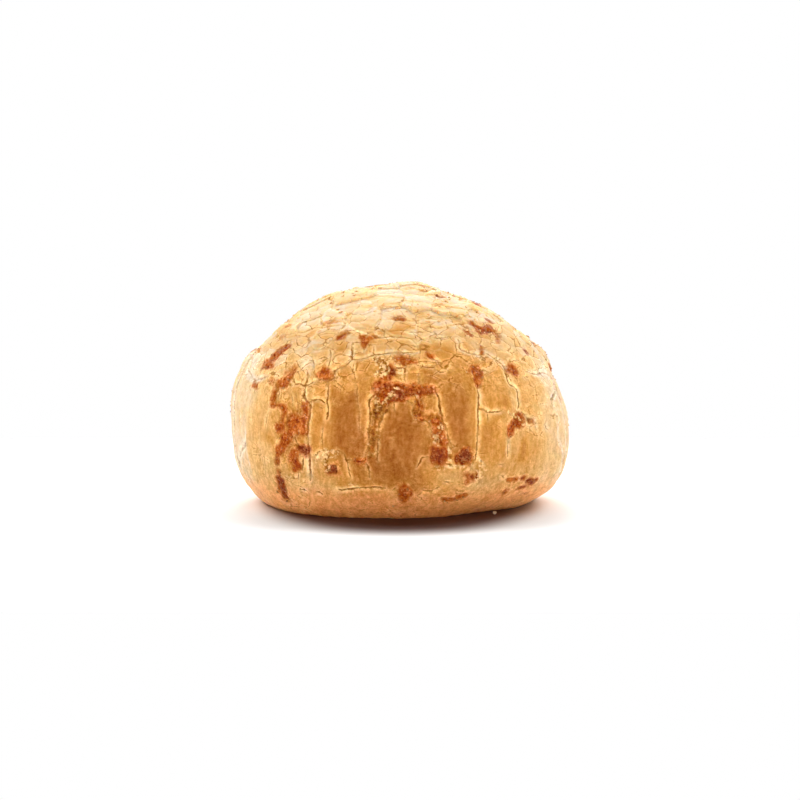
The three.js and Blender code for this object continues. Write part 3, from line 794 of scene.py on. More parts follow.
def survey(points, features):
    """Reads the nearest crack, tear and plate at each point of the bare form."""
    wandering = wander(wander(points, RAGGED, RAGGED_WAVE, 5), JAGGED, JAGGED_WAVE, 140)
    gap, half_width, depth, towards, lift, tone = between_plates(points, wandering, features.plates)
    ragged = 0.38 * noise(points, 1.3, (11, 0, 0)) + 0.34 * noise(points, (0.5, 0.5, 0.9), (0, 23, 0))
    torn = np.full(len(points), -FAR)
    tear_depth, toast, crumble = (np.zeros(len(points)) for _ in range(3))

    for line in features.cracks:
        rows, step, distance, along, width = beside(line, points, wandering)
        taper = smooth(np.minimum(along, 1 - along) * len(line.points) / END_TAPER)
        closer = distance < gap[rows]
        won = rows[closer]
        gap[won], towards[won] = distance[closer], step[closer]
        half_width[won] = (width * (0.4 + 0.6 * taper))[closer]
        depth[won] = line.depth * (0.35 + 0.65 * taper[closer])
    for line in features.tears:
        rows, _, distance, _, width = beside(line, points, wandering)
        edge = width + TEAR_SPREAD - distance + ragged[rows] * np.minimum(1.0, width / 0.45)
        better = edge > torn[rows]
        won = rows[better]
        torn[won], tear_depth[won], toast[won] = edge[better], line.depth, line.toast
    for line in features.crumbles:
        rows, _, distance, _, width = beside(line, points, wandering)
        inside = line.depth * smooth((width - distance) / 0.6 + 0.5)
        crumble[rows] = np.maximum(crumble[rows], inside)
    return Survey(gap, half_width, depth, towards, torn, tear_depth, toast, crumble, lift, tone)


def baked_tone(points, plate_tone):
    """How far the skin has browned: pale on the crown, amber on the wall, with blotches, and paler at the
    sides as painted rim light.
    """
    towards_side = 90 - np.abs(degrees_from_front(points) - 90)
    fall_from, fall_to = TONE_FALLS
    wall = clamp((fall_to - points[:, 2] + 1.6 * noise(points, 6.0, (5, 0, 61))) / (fall_to - fall_from))
    # Painted rim light: the skin pales towards the sides
    pale = smooth((towards_side + 5 * noise(points, 9.0, (0, 44, 8)) - PALE_FROM) / (PALE_FULL - PALE_FROM))
    tone = CROWN_TONE + (WALL_TONE - CROWN_TONE) * wall
    tone += (SIDE_RIM_LIGHT_TONE - tone) * pale
    tone += PLATE_TONE * (1 - 0.7 * pale) * plate_tone
    tone += 0.07 * noise(points, 5.0, (9, 1, 0)) + 0.05 * noise(points, (1.6, 1.6, 6.0))
    across, down, half_width, half_height, amount = np.array(list(TONES.values()), float).T
    zones = zip(seen(across, down), PIXEL * half_width, PIXEL * half_height, amount)
    here = wander(points, 1.1, 2.4, 19)
    for centre, wide, tall, change in zones:
        step = here - centre
        tone += change * np.exp(-((np.hypot(step[:, 0], step[:, 1]) / wide) ** 2) - (step[:, 2] / tall) ** 2)
    return tone


# ---- The crust's mesh ----

START_SUBDIVISIONS = 6
REFINE_ROUNDS = 3
FINE_EDGE = 0.21  # how long the triangles' edges should be
PLAIN_EDGE = 0.6
UNDER_EDGE = 1.3
EDGE_SLACK = 1.35  # an edge is halved once it is longer than it should be by this factor
FINE_WITHIN = 0.7  # of a crack or a tear
GATHER = 0.25  # vertices this near a crack are drawn to its line
TRIANGLE_LIMIT = 200000

DEEP_CRACK = 0.5  # the depth that a crack's lip and opening are measured against
GROOVE_DEPTH = 0.34  # of a crack's own depth
GROOVE_EASE = 0.07
LIP_AWAY = 0.26  # from the edge of a crack to the middle of its lip
LIP_WIDTH = 0.17
LIP_RISE = 0.05
TEAR_SINK = 0.4  # of a tear's own depth
CRUMB_RISE = 1.3
SPOT_RISE = 0.16
SPOT_PIT = 0.22  # every third spot is a pit instead
LEDGE_SHADE_TONE = 0.28  # painted shade: a ledge's lip, whose drop lies in shade, is browner by this
FLAKES_FROM = 27.0  # the height from which flakes lie on the skin


def split_long_edges(ways, faces, longest):
    """Halves each edge longer than longest(middle points) and re-cuts the triangles beside it."""
    pairs = np.stack([faces, np.roll(faces, -1, axis=1)], axis=2)
    edges, lookup = np.unique(np.sort(pairs.reshape(-1, 2), axis=1), axis=0, return_inverse=True)
    lookup = lookup.reshape(-1, 3)
    middles = ways[edges].sum(axis=1)
    middles /= np.linalg.norm(middles, axis=1)[:, None]
    ends = form(ways)
    lengths = np.linalg.norm(ends[edges[:, 0]] - ends[edges[:, 1]], axis=1)
    split = lengths > longest(form(middles))
    number = np.full(len(edges), -1)
    number[split] = len(ways) + np.arange(split.sum())
    middle = number[lookup]
    cuts = (middle >= 0).sum(axis=1)
    pieces = [faces[cuts == 0]]
    # Each triangle is turned so that an only cut edge comes first, and an only whole edge last.
    turn = np.where(cuts == 1, np.argmax(middle >= 0, axis=1), np.argmax(middle < 0, axis=1) + 1)
    order = (np.arange(3) + np.where((cuts == 1) | (cuts == 2), turn, 0)[:, None]) % 3
    corner = np.take_along_axis(faces, order, axis=1)
    middle = np.take_along_axis(middle, order, axis=1)
    (a, b, c), (ab, bc, ca) = corner[cuts == 1].T, middle[cuts == 1].T
    pieces += [np.stack(t, axis=1) for t in ((a, ab, c), (ab, b, c))]
    (a, b, c), (ab, bc, ca) = corner[cuts == 2].T, middle[cuts == 2].T
    pieces += [np.stack(t, axis=1) for t in ((ab, b, bc), (a, ab, bc), (a, bc, c))]
    (a, b, c), (ab, bc, ca) = corner[cuts == 3].T, middle[cuts == 3].T
    pieces += [np.stack(t, axis=1) for t in ((a, ab, ca), (ab, b, bc), (ca, bc, c), (ab, bc, ca))]
    return np.concatenate([ways, middles[split]]), np.concatenate(pieces)


def crag_rise(points):
    """How far the crags raise or sink each point."""
    rise = np.zeros(len(points))
    centres = places([crag.round for crag in CRAGS], [crag.height for crag in CRAGS])
    for crag, centre in zip(CRAGS, centres):
        distance = np.linalg.norm(points - centre, axis=1)
        rise += crag.rise * np.exp(-((distance / crag.reach) ** 4))
    return rise


def spot_marks(points, spots):
    """How browned the spots leave each point, and how far they raise or pit it."""
    toast, rise = np.zeros(len(points)), np.zeros(len(points))
    for index, spot in enumerate(spots):
        rows = np.flatnonzero((np.abs(points - spot.point) < 3 * spot.reach).all(axis=1))
        wobble = 1 + 0.35 * noise(points[rows], 0.5, (index, 0, 0))
        near = np.exp(-((np.linalg.norm(points[rows] - spot.point, axis=1) * wobble / spot.reach) ** 2))
        toast[rows] = np.maximum(toast[rows], spot.toast * near)
        rise[rows] += (SPOT_RISE if index % 3 else -SPOT_PIT) * near * min(1.0, spot.reach / 0.4)
    return toast, rise


def refined_sphere(features):
    """Directions and triangles, finest along the cracks and tears."""

    def longest(points):
        found = survey(points, features)
        near = np.minimum(found.gap, np.maximum(0, -found.torn))
        near = np.minimum(near, 1 - found.crumble)
        edge = FINE_EDGE + (PLAIN_EDGE - FINE_EDGE) * smooth(near / FINE_WITHIN)
        return EDGE_SLACK * np.where(points[:, 2] < UNCRACKED_BELOW / 2, UNDER_EDGE, edge)

    ways, faces = icosphere(START_SUBDIVISIONS)
    for _ in range(REFINE_ROUNDS):
        ways, faces = split_long_edges(ways, faces, longest)
    if len(faces) >= TRIANGLE_LIMIT:
        raise ValueError(f"the crust has {len(faces)} triangles")
    return ways, faces


def draw_to_cracks(points, found, bare):
    """The points with those near a crack drawn to its line, and how far from it they lie then."""
    near = found.gap < GATHER
    drawn = np.where(near, (found.gap / GATHER) ** 2, 1.0)
    drawn = 1 - (1 - drawn) * bare * (found.torn < 0) * (np.abs(found.towards).sum(axis=1) > 0)
    return points + found.towards * (1 - drawn)[:, None] * near[:, None], found.gap * drawn


def lips(gap, found):
    """How far each point lies on the raised lip of a crack or a tear."""
    lip = np.exp(-(((gap - found.half_width - LIP_AWAY) / LIP_WIDTH) ** 2)) * found.depth / DEEP_CRACK
    return np.maximum(lip, 0.7 * np.exp(-(((found.torn + 0.3) / 0.2) ** 2)))


def skin_rise(points, gap, found, inside, lip, ledge_plain):
    """How far the skin's grooves, lips, plates, tears and grain raise each point."""
    groove = np.exp(-((gap / (found.half_width + GROOVE_EASE)) ** 2)) * (1 - 0.7 * inside)
    edge = 1 - np.minimum(1, gap / DOME_REACH)
    calm = 1 - 0.5 * crown_share(points)
    grain = 0.13 * noise(points, 0.62, (5, 5, 5)) + 0.1 * noise(points, 0.33, (0, 8, 0))
    rise = calm * (0.035 * noise(points, (0.8, 0.8, 3.2), (0, 4, 0)) + 0.03 * noise(points, 0.6, (9, 9, 0)))
    rise += LIP_RISE * lip * (1 - inside) - PLATE_DOME * edge**2 * (1 - ledge_plain) * calm
    rise -= GROOVE_DEPTH * found.depth * groove + TEAR_SINK * inside * found.tear_depth
    return rise + CRUMB_RISE * np.maximum(inside, found.crumble) * grain


def bake_crust_mesh():
    """The crust's mesh with its relief, and for each vertex what its finish reads."""
    features = lay_out()
    ways, faces = refined_sphere(features)
    points, normals = form(ways), normals_at(ways)
    found = survey(points, features)
    lip_gap, ledge_rise, ledge_plain = ledges(points, found.tone)
    # The ledges' lips get painted shade as a browner tone
    tone = baked_tone(points, found.tone) + LEDGE_SHADE_TONE * ledge_plain * np.exp(-((lip_gap / 0.45) ** 2))
    bare = smooth((points[:, 2] - UNCRACKED_BELOW) / UNCRACKED_FADE)
    points, gap = draw_to_cracks(points, found, bare)
    spot_toast, spot_rise = spot_marks(points, back_spots())

    inside = smooth(found.torn / 0.5 + 0.4)
    lip = lips(gap, found)
    rise = crag_rise(points) + LEDGE_RISE * ledge_rise * ledge_plain
    rise += 0.17 * noise(points, 6.5, (2, 2, 2)) + 0.08 * noise(points, 2.6, (7, 0, 4))
    rise += bare * (found.lift + spot_rise + skin_rise(points, gap, found, inside, lip, ledge_plain))
    points += normals * rise[:, None]
    points[:, 2] = np.maximum(points[:, 2], 0)
    low, high = points.min(axis=0), points.max(axis=0)
    points = NODE_LOW + (points - low) * (NODE_HIGH - NODE_LOW) / (high - low)

    pale = np.exp(-(((found.torn + 0.1) / 0.22) ** 2)) * clamp(0.5 + noise(points, 1.5))
    flaky = clamp(lip * (1 - inside) * 0.5 + 0.1)
    marks = {
        "gap": np.clip(gap - found.half_width, -0.5, 3),
        "opening": found.depth / DEEP_CRACK * bare,
        "torn": np.clip(found.torn, -3, 1.5) - 3 * (1 - bare),
        "toast": found.toast * smooth(found.torn / 0.5 + 1) * bare,
        "crumble": found.crumble * bare,
        "spots": spot_toast * bare,
        # browning, with painted rim light at the sides and painted shade at the ledges' lips
        "tone": tone,
        "browned_share": inside * smooth(found.toast * 1.4 - 0.3) * bare,
        "pale_share": bare * np.maximum(0.7 * pale, found.crumble),
        "flake_share": bare * smooth((points[:, 2] - FLAKES_FROM) / 6) * flaky,
    }
    return points, faces, marks


# ---- Node trees ----

GAMMA = 2.2
DARKEST = 0.34, 0.15, 0.04  # what the printed light and dark stay above, as coded on a screen
LIGHTEST = 0.97, 0.97, 0.97
HALF = 0.5, 0.5, 0.5


class Wire:
    """A number's socket: arithmetic on it adds Math nodes to its tree."""

    def __init__(self, recipe, socket):
        self.recipe = recipe
        self.socket = socket

    def maths(self, operation, *values):
        return self.recipe.make("ShaderNodeMath", {"operation": operation}, dict(enumerate(values)))

    def __add__(self, other):
        return self.maths("ADD", self, other)

    __radd__ = __add__

    def __sub__(self, other):
        return self.maths("SUBTRACT", self, other)

    def __rsub__(self, other):
        return self.maths("SUBTRACT", other, self)

    def __mul__(self, other):
        return self.maths("MULTIPLY", self, other)

    __rmul__ = __mul__

    def lower(self, other):
        return self.maths("MINIMUM", self, other)

    def higher(self, other):
        return self.maths("MAXIMUM", self, other)

    def step(self, start, end):
        """Eases from 0 where the number is at start to 1 where it is at end."""
        low, high = sorted((start, end))
        inputs = {0: self, 1: low, 2: high, 3: float(start > end), 4: float(start < end)}
        return self.recipe.make("ShaderNodeMapRange", {"interpolation_type": "SMOOTHSTEP"}, inputs)


class Recipe:
    """A node tree under construction."""

    def __init__(self, tree):
        self.tree = tree
        tree.nodes.clear()

    def make(self, kind, settings=None, inputs=None, output=0):
        """Adds a node, its settings before its sockets' values or links, and returns one of its outputs."""
        node = self.tree.nodes.new(kind)
        for name, value in (settings or {}).items():
            setattr(node, name, value)
        for key, value in (inputs or {}).items():
            if isinstance(value, Wire):
                self.tree.links.new(value.socket, node.inputs[key])
            else:
                node.inputs[key].default_value = value
        return Wire(self, node.outputs[output]) if len(node.outputs) else None

    def vectors(self, operation, *values, output=0):
        """Vector Math on vectors or colours."""
        return self.make("ShaderNodeVectorMath", {"operation": operation}, dict(enumerate(values)), output)

    def scaled(self, vector, by):
        return self.make("ShaderNodeVectorMath", {"operation": "SCALE"}, {0: vector, 3: by})

    def blend(self, share, under, over):
        """One colour over another by a share."""
        return self.make("ShaderNodeMix", {"data_type": "RGBA"}, {0: share, 6: under, 7: over}, 2)

    def mark(self, name):
        """A number baked into the mesh."""
        return self.make("ShaderNodeAttribute", {"attribute_name": name}, output="Fac")

    def axis(self, vector, number):
        return self.make("ShaderNodeSeparateXYZ", inputs={0: vector}, output=number)

    def millimetres(self):
        """Object coordinates in millimetres."""
        return self.scaled(self.make("ShaderNodeTexCoord", output="Object"), 1 / MM)

    def printed(self, colour, change):
        """The colour with its red, green and blue moved alike, as they are coded on a screen."""
        coded = self.make("ShaderNodeGamma", inputs={"Color": colour, "Gamma": 1 / GAMMA})
        coded = self.vectors("MAXIMUM", self.vectors("ADD", coded, change), DARKEST)
        coded = self.vectors("MINIMUM", coded, LIGHTEST)
        return self.make("ShaderNodeGamma", inputs={"Color": coded, "Gamma": GAMMA})

    def noise(self, place, wave, detail=2.0, squash=(1.0, 1.0, 1.0), rough=0.5):
        """Noise from -0.5 to 0.5 whose waves are this many millimetres long."""
        inputs = {"Vector": self.vectors("MULTIPLY", place, squash), "Scale": 1 / wave}
        inputs |= {"Detail": detail, "Roughness": rough}
        return self.make("ShaderNodeTexNoise", {"noise_dimensions": "3D"}, inputs) - 0.5

    def stray(self, inputs):
        """A step that changes smoothly from place to place, from -0.5 to 0.5 along each axis."""
        noises = self.make("ShaderNodeTexNoise", {"noise_dimensions": "3D"}, inputs, 1)
        return self.vectors("SUBTRACT", noises, HALF)

    def cells(self, place, size, feature="F1", output=0, **more):
        """A cell pattern: by default, how far each point lies from its cell's middle."""
        inputs = {"Vector": place, "Scale": 1 / size, **more}
        return self.make("ShaderNodeTexVoronoi", {"feature": feature}, inputs, output)

    def cell_share(self, place, size, **more):
        """A random number from -0.5 to 0.5 for each cell."""
        share = self.cells(place, size, output=1, **more)
        return self.make("ShaderNodeSeparateColor", inputs={0: share}) - 0.5


def shade(red, green, blue):
    """A colour picked on a screen, as the light it stands for."""
    linear = [((part / 255 + 0.055) / 1.055) ** 2.4 for part in (red, green, blue)]
    return (*linear, 1.0)


# ---- What a user would change ----


def size_value(name, description, default):
    words = {"name": name, "description": description, "subtype": "DISTANCE", "unit": "LENGTH"}
    return bpy.props.FloatProperty(default=default, min=0, soft_max=0.01, **words)


def colour_value(name, description, default):
    words = {"name": name, "description": description, "subtype": "COLOR"}
    return bpy.props.FloatVectorProperty(default=default, size=4, min=0, max=1, **words)


class CrustLook(bpy.types.PropertyGroup):
    """The crust's colours and fine relief."""

    # On the sides, partly painted rim light
    cream: colour_value("Cream", "Dry skin of the crown and the sides", shade(223, 203, 177))
    straw: colour_value("Straw", "Lightly baked skin", shade(222, 178, 118))
    amber: colour_value("Amber", "Baked middle of a plate on the wall", shade(206, 146, 72))
    deep: colour_value("Deep amber", "Darkest baked plates", shade(168, 105, 44))
    # Partly pale flaky rims, partly painted warm light in the shaded walls of the crown's cracks
    rim: colour_value("Rim", "Pale rims of the plates, mostly on the crown", shade(240, 208, 150))
    # Partly paler skin, partly painted light that the floor throws up on the base
    skirt: colour_value("Skirt", "Smooth skin close to the base", shade(236, 162, 98))
    gutter: colour_value("Gutter", "Crumb seen down a wide crack", shade(152, 96, 26))
    # Painted shade at the bottom of a crack
    shadow: colour_value("Crack", "Bottom of a crack", shade(140, 74, 20))
    browned: colour_value("Browned", "Browned cheese in a tear", shade(170, 84, 16))
    scorched: colour_value("Scorched", "Darkest browned cheese", shade(128, 54, 14))
    grit: bpy.props.FloatProperty(
        name="Grit", description="Strength of the fine relief", default=1.0, min=0, max=1, subtype="FACTOR"
    )


class CrumbSizes(bpy.types.PropertyGroup):
    """Sizes of what lies loose or half loose on the crust."""

    grain_small: size_value("Smallest grain", "Radius of the smallest cheese grain in a tear", 0.00009)
    grain_large: size_value("Largest grain", "Radius of the largest cheese grain in a tear", 0.00022)
    flake_small: size_value("Smallest flake", "Half width of the smallest skin flake", 0.00014)
    flake_large: size_value("Largest flake", "Half width of the largest skin flake", 0.0004)
    crumb: size_value("Crumb", "Radius of the crumb fallen beside the base", 0.00035)


# ---- Finishes ----

CRAZE_SIZE = 2.8  # millimetres between the fine lines that craze the skin
CRAZE_SQUASH = 1.0, 1.0, 1.6  # what they enclose is this much less tall than wide
CHEESE_GRAIN = 0.4


class CrustRecipe(Recipe):
    """The crust's shader, with the marks and noises that its layers share."""

    def __init__(self, tree, look):
        super().__init__(tree)
        self.look = look
        place = self.millimetres()
        across, self.height = self.axis(place, 0), self.axis(place, 2)
        self.side = (across * across).step(150.0, 600.0)  # in square millimetres
        self.gap, self.torn, self.toast, self.opening = map(self.mark, ("gap", "torn", "toast", "opening"))
        self.patch = self.noise(place, 7.0)
        self.blotch = self.noise(place, 1.7, 0.0)
        self.streak = self.noise(place, 1.5, squash=(1.0, 1.0, 0.3), rough=1.0)
        self.fine = self.noise(place, 0.7, rough=1.0)
        self.grain_high = 1.0 - self.cells(place, CHEESE_GRAIN)
        self.grain = self.cell_share(place, CHEESE_GRAIN)
        self.crown = (self.height + 5 * self.patch).step(25.0, 29.0)
        self.calm = 1.0 - 0.65 * self.crown
        upper = (self.height + 9 * self.patch).step(18.0, 26.0) * (1.0 - 0.55 * self.height.step(30.0, 36.0))
        self.crazed = upper.higher((self.patch + 0.3 * self.blotch).step(0.02, 0.18) * 0.7)
        stray = self.scaled(self.stray({0: place, "Scale": 0.9 / CRAZE_SIZE}), 2.0)
        chips = self.vectors("MULTIPLY", self.vectors("ADD", place, stray), CRAZE_SQUASH)
        self.chip_edge = CRAZE_SIZE * self.cells(chips, CRAZE_SIZE, "DISTANCE_TO_EDGE", Randomness=0.9)
        self.chip = self.cell_share(chips, CRAZE_SIZE, Randomness=0.9)
        self.find_layers()

    def find_layers(self):
        """Where the skirt, the fine lines, the cracks, the tears and the crumbs show, each from 0 to 1."""
        self.skirt = (self.height + 2.5 * self.blotch).step(6.5, 3.0) * 0.75
        self.hair = (self.chip_edge + 0.4 * self.fine).step(0.16, 0.0) * self.crazed
        self.hair = self.hair * self.blotch.step(-0.2, 0.1)
        self.open_share = self.opening.step(0.0, 0.35) * (1.0 - 0.5 * self.side)
        self.worn = (self.blotch + 0.5 * self.fine).step(-0.2, 0.05)
        self.line = (self.gap + 0.35 * self.fine).step(0.13, 0.0) * self.open_share
        self.line = self.line * (0.35 + 0.65 * self.worn)
        self.inside = (self.torn + 0.3 * self.grain + 0.5 * self.blotch + 0.6 * self.fine).step(-0.3, 0.25)
        self.crumbs = (self.mark("crumble") + 0.7 * self.grain).step(0.3, 0.7)

    def paint(self, share, under, name):
        """One of the crust's own colours over another by a share."""
        return self.blend(share, under, getattr(self.look, name))

    def mild(self):
        """Crumb that has hardly browned, paler towards the crown."""
        return self.paint(self.height.step(20.0, 25.0), self.look.gutter, "amber")

    def skin(self):
        """The skin, from cream through straw and amber as it browns."""
        # Paler near the cracks: partly less browned plate edges, partly painted highlight on their lips
        lip = (self.gap.step(1.0, 0.1) * self.opening).lower(1.0)
        # Rims: partly pale flakes, partly painted warm light in the cracks' shaded walls, mostly on the crown
        rim = (self.gap + 0.3 * self.fine).step(0.5, 0.1) * self.opening.step(0.0, 0.2)
        baked = self.mark("tone") + (0.12 + 0.15 * self.crown) * self.blotch + 0.2 * self.patch
        baked = baked + 0.25 * self.chip * self.crazed - 0.25 * lip
        glow = (self.torn + 1.2 * self.blotch).step(-1.7, 0.0) * self.toast.step(0.0, 0.6)
        skin = self.paint(baked.step(-0.1, 0.45), self.look.cream, "straw")
        skin = self.paint(baked.step(0.25, 0.8), skin, "amber")
        skin = self.paint(baked.step(0.65, 1.2) * (1.0 - 0.7 * self.crown), skin, "deep")
        skin = self.paint(rim * (0.06 + 0.44 * self.crown), skin, "rim")
        # The skirt: partly paler skin, partly painted light thrown up from the floor
        skin = self.paint(self.skirt, skin, "skirt")
        return self.paint(glow * 0.45, skin, "browned")

    def cracked(self, skin):
        """Fine broken lines over the upper skin, then the line of each crack, darkest at its bottom with
        painted shade.
        """
        # Painted shade along the bottom of each crack
        core = (self.gap + 0.3 * self.fine).step(0.03, -0.06) * self.open_share * self.worn
        skin = self.paint(self.hair * 0.6, skin, "gutter")
        skin = self.blend(self.line * 0.6, skin, self.mild())
        return self.paint(core * (0.6 - 0.35 * self.crown), skin, "shadow")

    def torn_open(self, skin):
        """Browned cheese in the tears, crumb in the gutters and crumbled patches, all in grains."""
        heat = self.toast * (0.8 + 0.35 * self.torn.step(-0.3, 0.7)) + 0.4 * self.blotch + 0.2 * self.streak
        cheese = self.paint(heat.step(0.3, 0.65), self.mild(), "browned")
        cheese = self.paint(heat.step(0.75, 1.25), cheese, "scorched")
        pale = (self.grain - 0.15 * self.torn.step(-0.1, 0.6)).step(0.2, 0.3)
        cheese = self.paint(pale * 0.1, cheese, "straw")
        spots = (self.mark("spots") + 0.4 * self.grain).step(0.25, 0.75)
        skin = self.blend(self.inside, skin, cheese)
        crumb = self.paint(self.grain.step(-0.3, 0.3), self.look.gutter, "straw")
        skin = self.blend(self.crumbs * 0.85, skin, crumb)
        return self.blend(spots * 0.85, skin, self.paint(heat.step(0.2, 0.8), self.look.browned, "scorched"))

    def light_and_dark(self):
        """Brightness changes that leave the hue alone: grit and streaks, painted highlights on pale lips,
        painted shade on dark lines, and painted light on the skirt.
        """
        raw = self.inside.higher(self.crumbs).higher(self.torn.step(-1.6, -0.1) * 0.6)
        raw = raw.higher(self.height.step(14.0, 6.0) * 0.35)
        change = self.calm * ((0.3 + 0.3 * raw) * self.fine + 0.25 * self.streak) + 0.12 * raw * self.grain
        # Painted highlight on the lips beside cracks, tears and crazing
        lip = (self.gap + 0.3 * self.fine).step(0.75, 0.2) * self.open_share * (1.0 - self.line)
        lip = lip.higher((self.torn + 0.3 * self.fine).step(-0.65, -0.2) * (1.0 - self.inside))
        lip = lip.higher(self.chip_edge.step(0.6, 0.2) * self.crazed * 0.8 * (1.0 - self.hair))
        change = change + 0.08 * self.blotch + lip * self.calm * (0.03 + 0.1 * self.worn)
        # Painted shade down the lines of the cracks and the crazing
        change = change - 0.04 * self.line - 0.05 * self.hair - 0.02 * self.crown
        # Painted light on the skirt, more towards the sides, and the whole skin a little darker
        return change + self.skirt * (0.03 + 0.05 * self.side) - 0.03

    def relief(self):
        """Relief too fine for the mesh, in millimetres."""
        rise = self.calm * (0.05 * self.fine + 0.04 * self.blotch + 0.04 * self.streak)
        rise = rise + 0.07 * self.chip_edge.step(0.0, 0.6) * self.crazed
        return rise + 0.08 * self.grain_high * self.inside.higher(self.crumbs)


def new_material(name):
    material = bpy.data.materials.new(name)
    material.use_nodes = True
    return material


def crust_finish(look):
    """Pale cracked skin, amber in the middle of the wall's plates, over browned cheese in the tears."""
    material = new_material("cracked crust")
    recipe = CrustRecipe(material.node_tree, look)
    skin = recipe.torn_open(recipe.cracked(recipe.skin()))
    bump = {"Height": recipe.relief(), "Distance": MM, "Strength": look.grit}
    surface = {
        "Base Color": recipe.printed(skin, recipe.light_and_dark()),
        "Roughness": 0.7 - 0.2 * recipe.inside,
        "Normal": recipe.make("ShaderNodeBump", inputs=bump),
        "Specular IOR Level": 0.1,
        "Subsurface Weight": 0.45,
        "Subsurface Radius": (1.0, 0.4, 0.12),
        "Subsurface Scale": 0.002,
    }
    body = recipe.make("ShaderNodeBsdfPrincipled", inputs=surface)
    recipe.make("ShaderNodeOutputMaterial", inputs={"Surface": body})
    return material


def loose_finish(name, pale, dark, rough):
    """Small bits, each between two colours by a random share of its own."""
    material = new_material(name)
    recipe = Recipe(material.node_tree)
    share = recipe.mark("shade") + 0.8 * recipe.noise(recipe.millimetres(), 0.3)
    surface = {"Base Color": recipe.blend(share.step(0.0, 1.0), pale, dark), "Roughness": rough}
    body = recipe.make("ShaderNodeBsdfPrincipled", inputs=surface)
    recipe.make("ShaderNodeOutputMaterial", inputs={"Surface": body})
    return material


# ---- Pieces ----

BITS_APART = 0.0003
LUMP_SCALE = 5200.0  # lumps to the metre
LUMP_SHARE = 1.6  # lumps move a bit's skin by up to half this share of the smallest size


def mesh_object(name, points, faces, material):
    """A smooth mesh object from points in millimetres."""
    mesh = bpy.data.meshes.new(name)
    mesh.from_pydata((points * MM).tolist(), [], faces.tolist())
    mesh.shade_smooth()
    mesh.materials.append(material)
    piece = bpy.data.objects.new(name, mesh)
    bpy.context.collection.objects.link(piece)
    return piece


def settle(piece):
    """Tells the frame which body a piece rides on."""
    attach(piece, BODY)


SCATTER_INPUTS = {
    "Geometry": "NodeSocketGeometry",
    "Where": "NodeSocketString",
    "Per Area": "NodeSocketFloat",
    "Apart": "NodeSocketFloat",
    "Smallest": "NodeSocketFloat",
    "Largest": "NodeSocketFloat",
    "Thickness": "NodeSocketFloat",
    "Tilt": "NodeSocketFloat",
    "Seed": "NodeSocketInt",
    "Material": "NodeSocketMaterial",
}


def spread_points(recipe, given):
    """Points over the mesh, thickest where the named mark is high, and the turn that faces each outward."""
    where = recipe.make("GeometryNodeInputNamedAttribute", {"data_type": "FLOAT"}, {"Name": given["Where"]})
    spread = {
        "Mesh": given["Geometry"],
        "Distance Min": given["Apart"],
        "Density Max": given["Per Area"],
        "Density Factor": where,
        "Seed": given["Seed"],
    }
    points = recipe.make("GeometryNodeDistributePointsOnFaces", {"distribute_method": "POISSON"}, spread)
    return points, Wire(recipe, points.socket.node.outputs["Rotation"])


def bits_on(recipe, given, points, facing):
    """A small ball on each point, stretched, flattened and turned at random, with a random shade."""

    def random_number(low, high, salt):
        inputs = {2: low, 3: high, "Seed": given["Seed"] + salt}
        return recipe.make("FunctionNodeRandomValue", {"data_type": "FLOAT"}, inputs, 1)

    size = random_number(given["Smallest"], given["Largest"], 1)
    long = size * random_number(1.0, 1.7, 2)
    scale = recipe.make("ShaderNodeCombineXYZ", inputs={0: long, 1: size, 2: size * given["Thickness"]})
    nod, roll = (random_number(low, 1.0, salt) * given["Tilt"] for low, salt in ((0.0, 3), (-1.0, 4)))
    turn = recipe.make("ShaderNodeCombineXYZ", inputs={0: nod, 1: roll, 2: random_number(0.0, 6.28, 5)})
    turned = recipe.make("FunctionNodeRotateRotation", {"rotation_space": "LOCAL"}, {0: facing, 1: turn})
    ball = recipe.make("GeometryNodeMeshIcoSphere", inputs={"Radius": 1.0, "Subdivisions": 1})
    placed = {"Points": points, "Instance": ball, "Rotation": turned, "Scale": scale}
    bits = recipe.make("GeometryNodeInstanceOnPoints", inputs=placed)
    marked = {"Geometry": bits, "Name": "shade", 3: random_number(0.0, 1.0, 6)}
    settings = {"data_type": "FLOAT", "domain": "INSTANCE"}
    return recipe.make("GeometryNodeStoreNamedAttribute", settings, marked)


def scatter_tree():
    """A node tree that strews small lumpy bits over a mesh, thickest where a named mark is high."""
    tree = bpy.data.node_groups.new("strewn bits", "GeometryNodeTree")
    recipe = Recipe(tree)
    for name, kind in SCATTER_INPUTS.items():
        tree.interface.new_socket(name, in_out="INPUT", socket_type=kind)
    tree.interface.new_socket("Geometry", in_out="OUTPUT", socket_type="NodeSocketGeometry")
    start = recipe.make("NodeGroupInput").socket.node
    given = {name: Wire(recipe, start.outputs[name]) for name in SCATTER_INPUTS}
    bits = bits_on(recipe, given, *spread_points(recipe, given))
    bits = recipe.make("GeometryNodeRealizeInstances", inputs={"Geometry": bits})
    lumps = recipe.scaled(recipe.stray({"Scale": LUMP_SCALE, "Detail": 0.0}), given["Smallest"] * LUMP_SHARE)
    bits = recipe.make("GeometryNodeSetPosition", inputs={"Geometry": bits, "Offset": lumps})
    bits = recipe.make("GeometryNodeSetShadeSmooth", inputs={"Geometry": bits})
    bits = recipe.make("GeometryNodeSetMaterial", inputs={"Geometry": bits, "Material": given["Material"]})
    recipe.make("NodeGroupOutput", inputs={0: bits})
    return tree


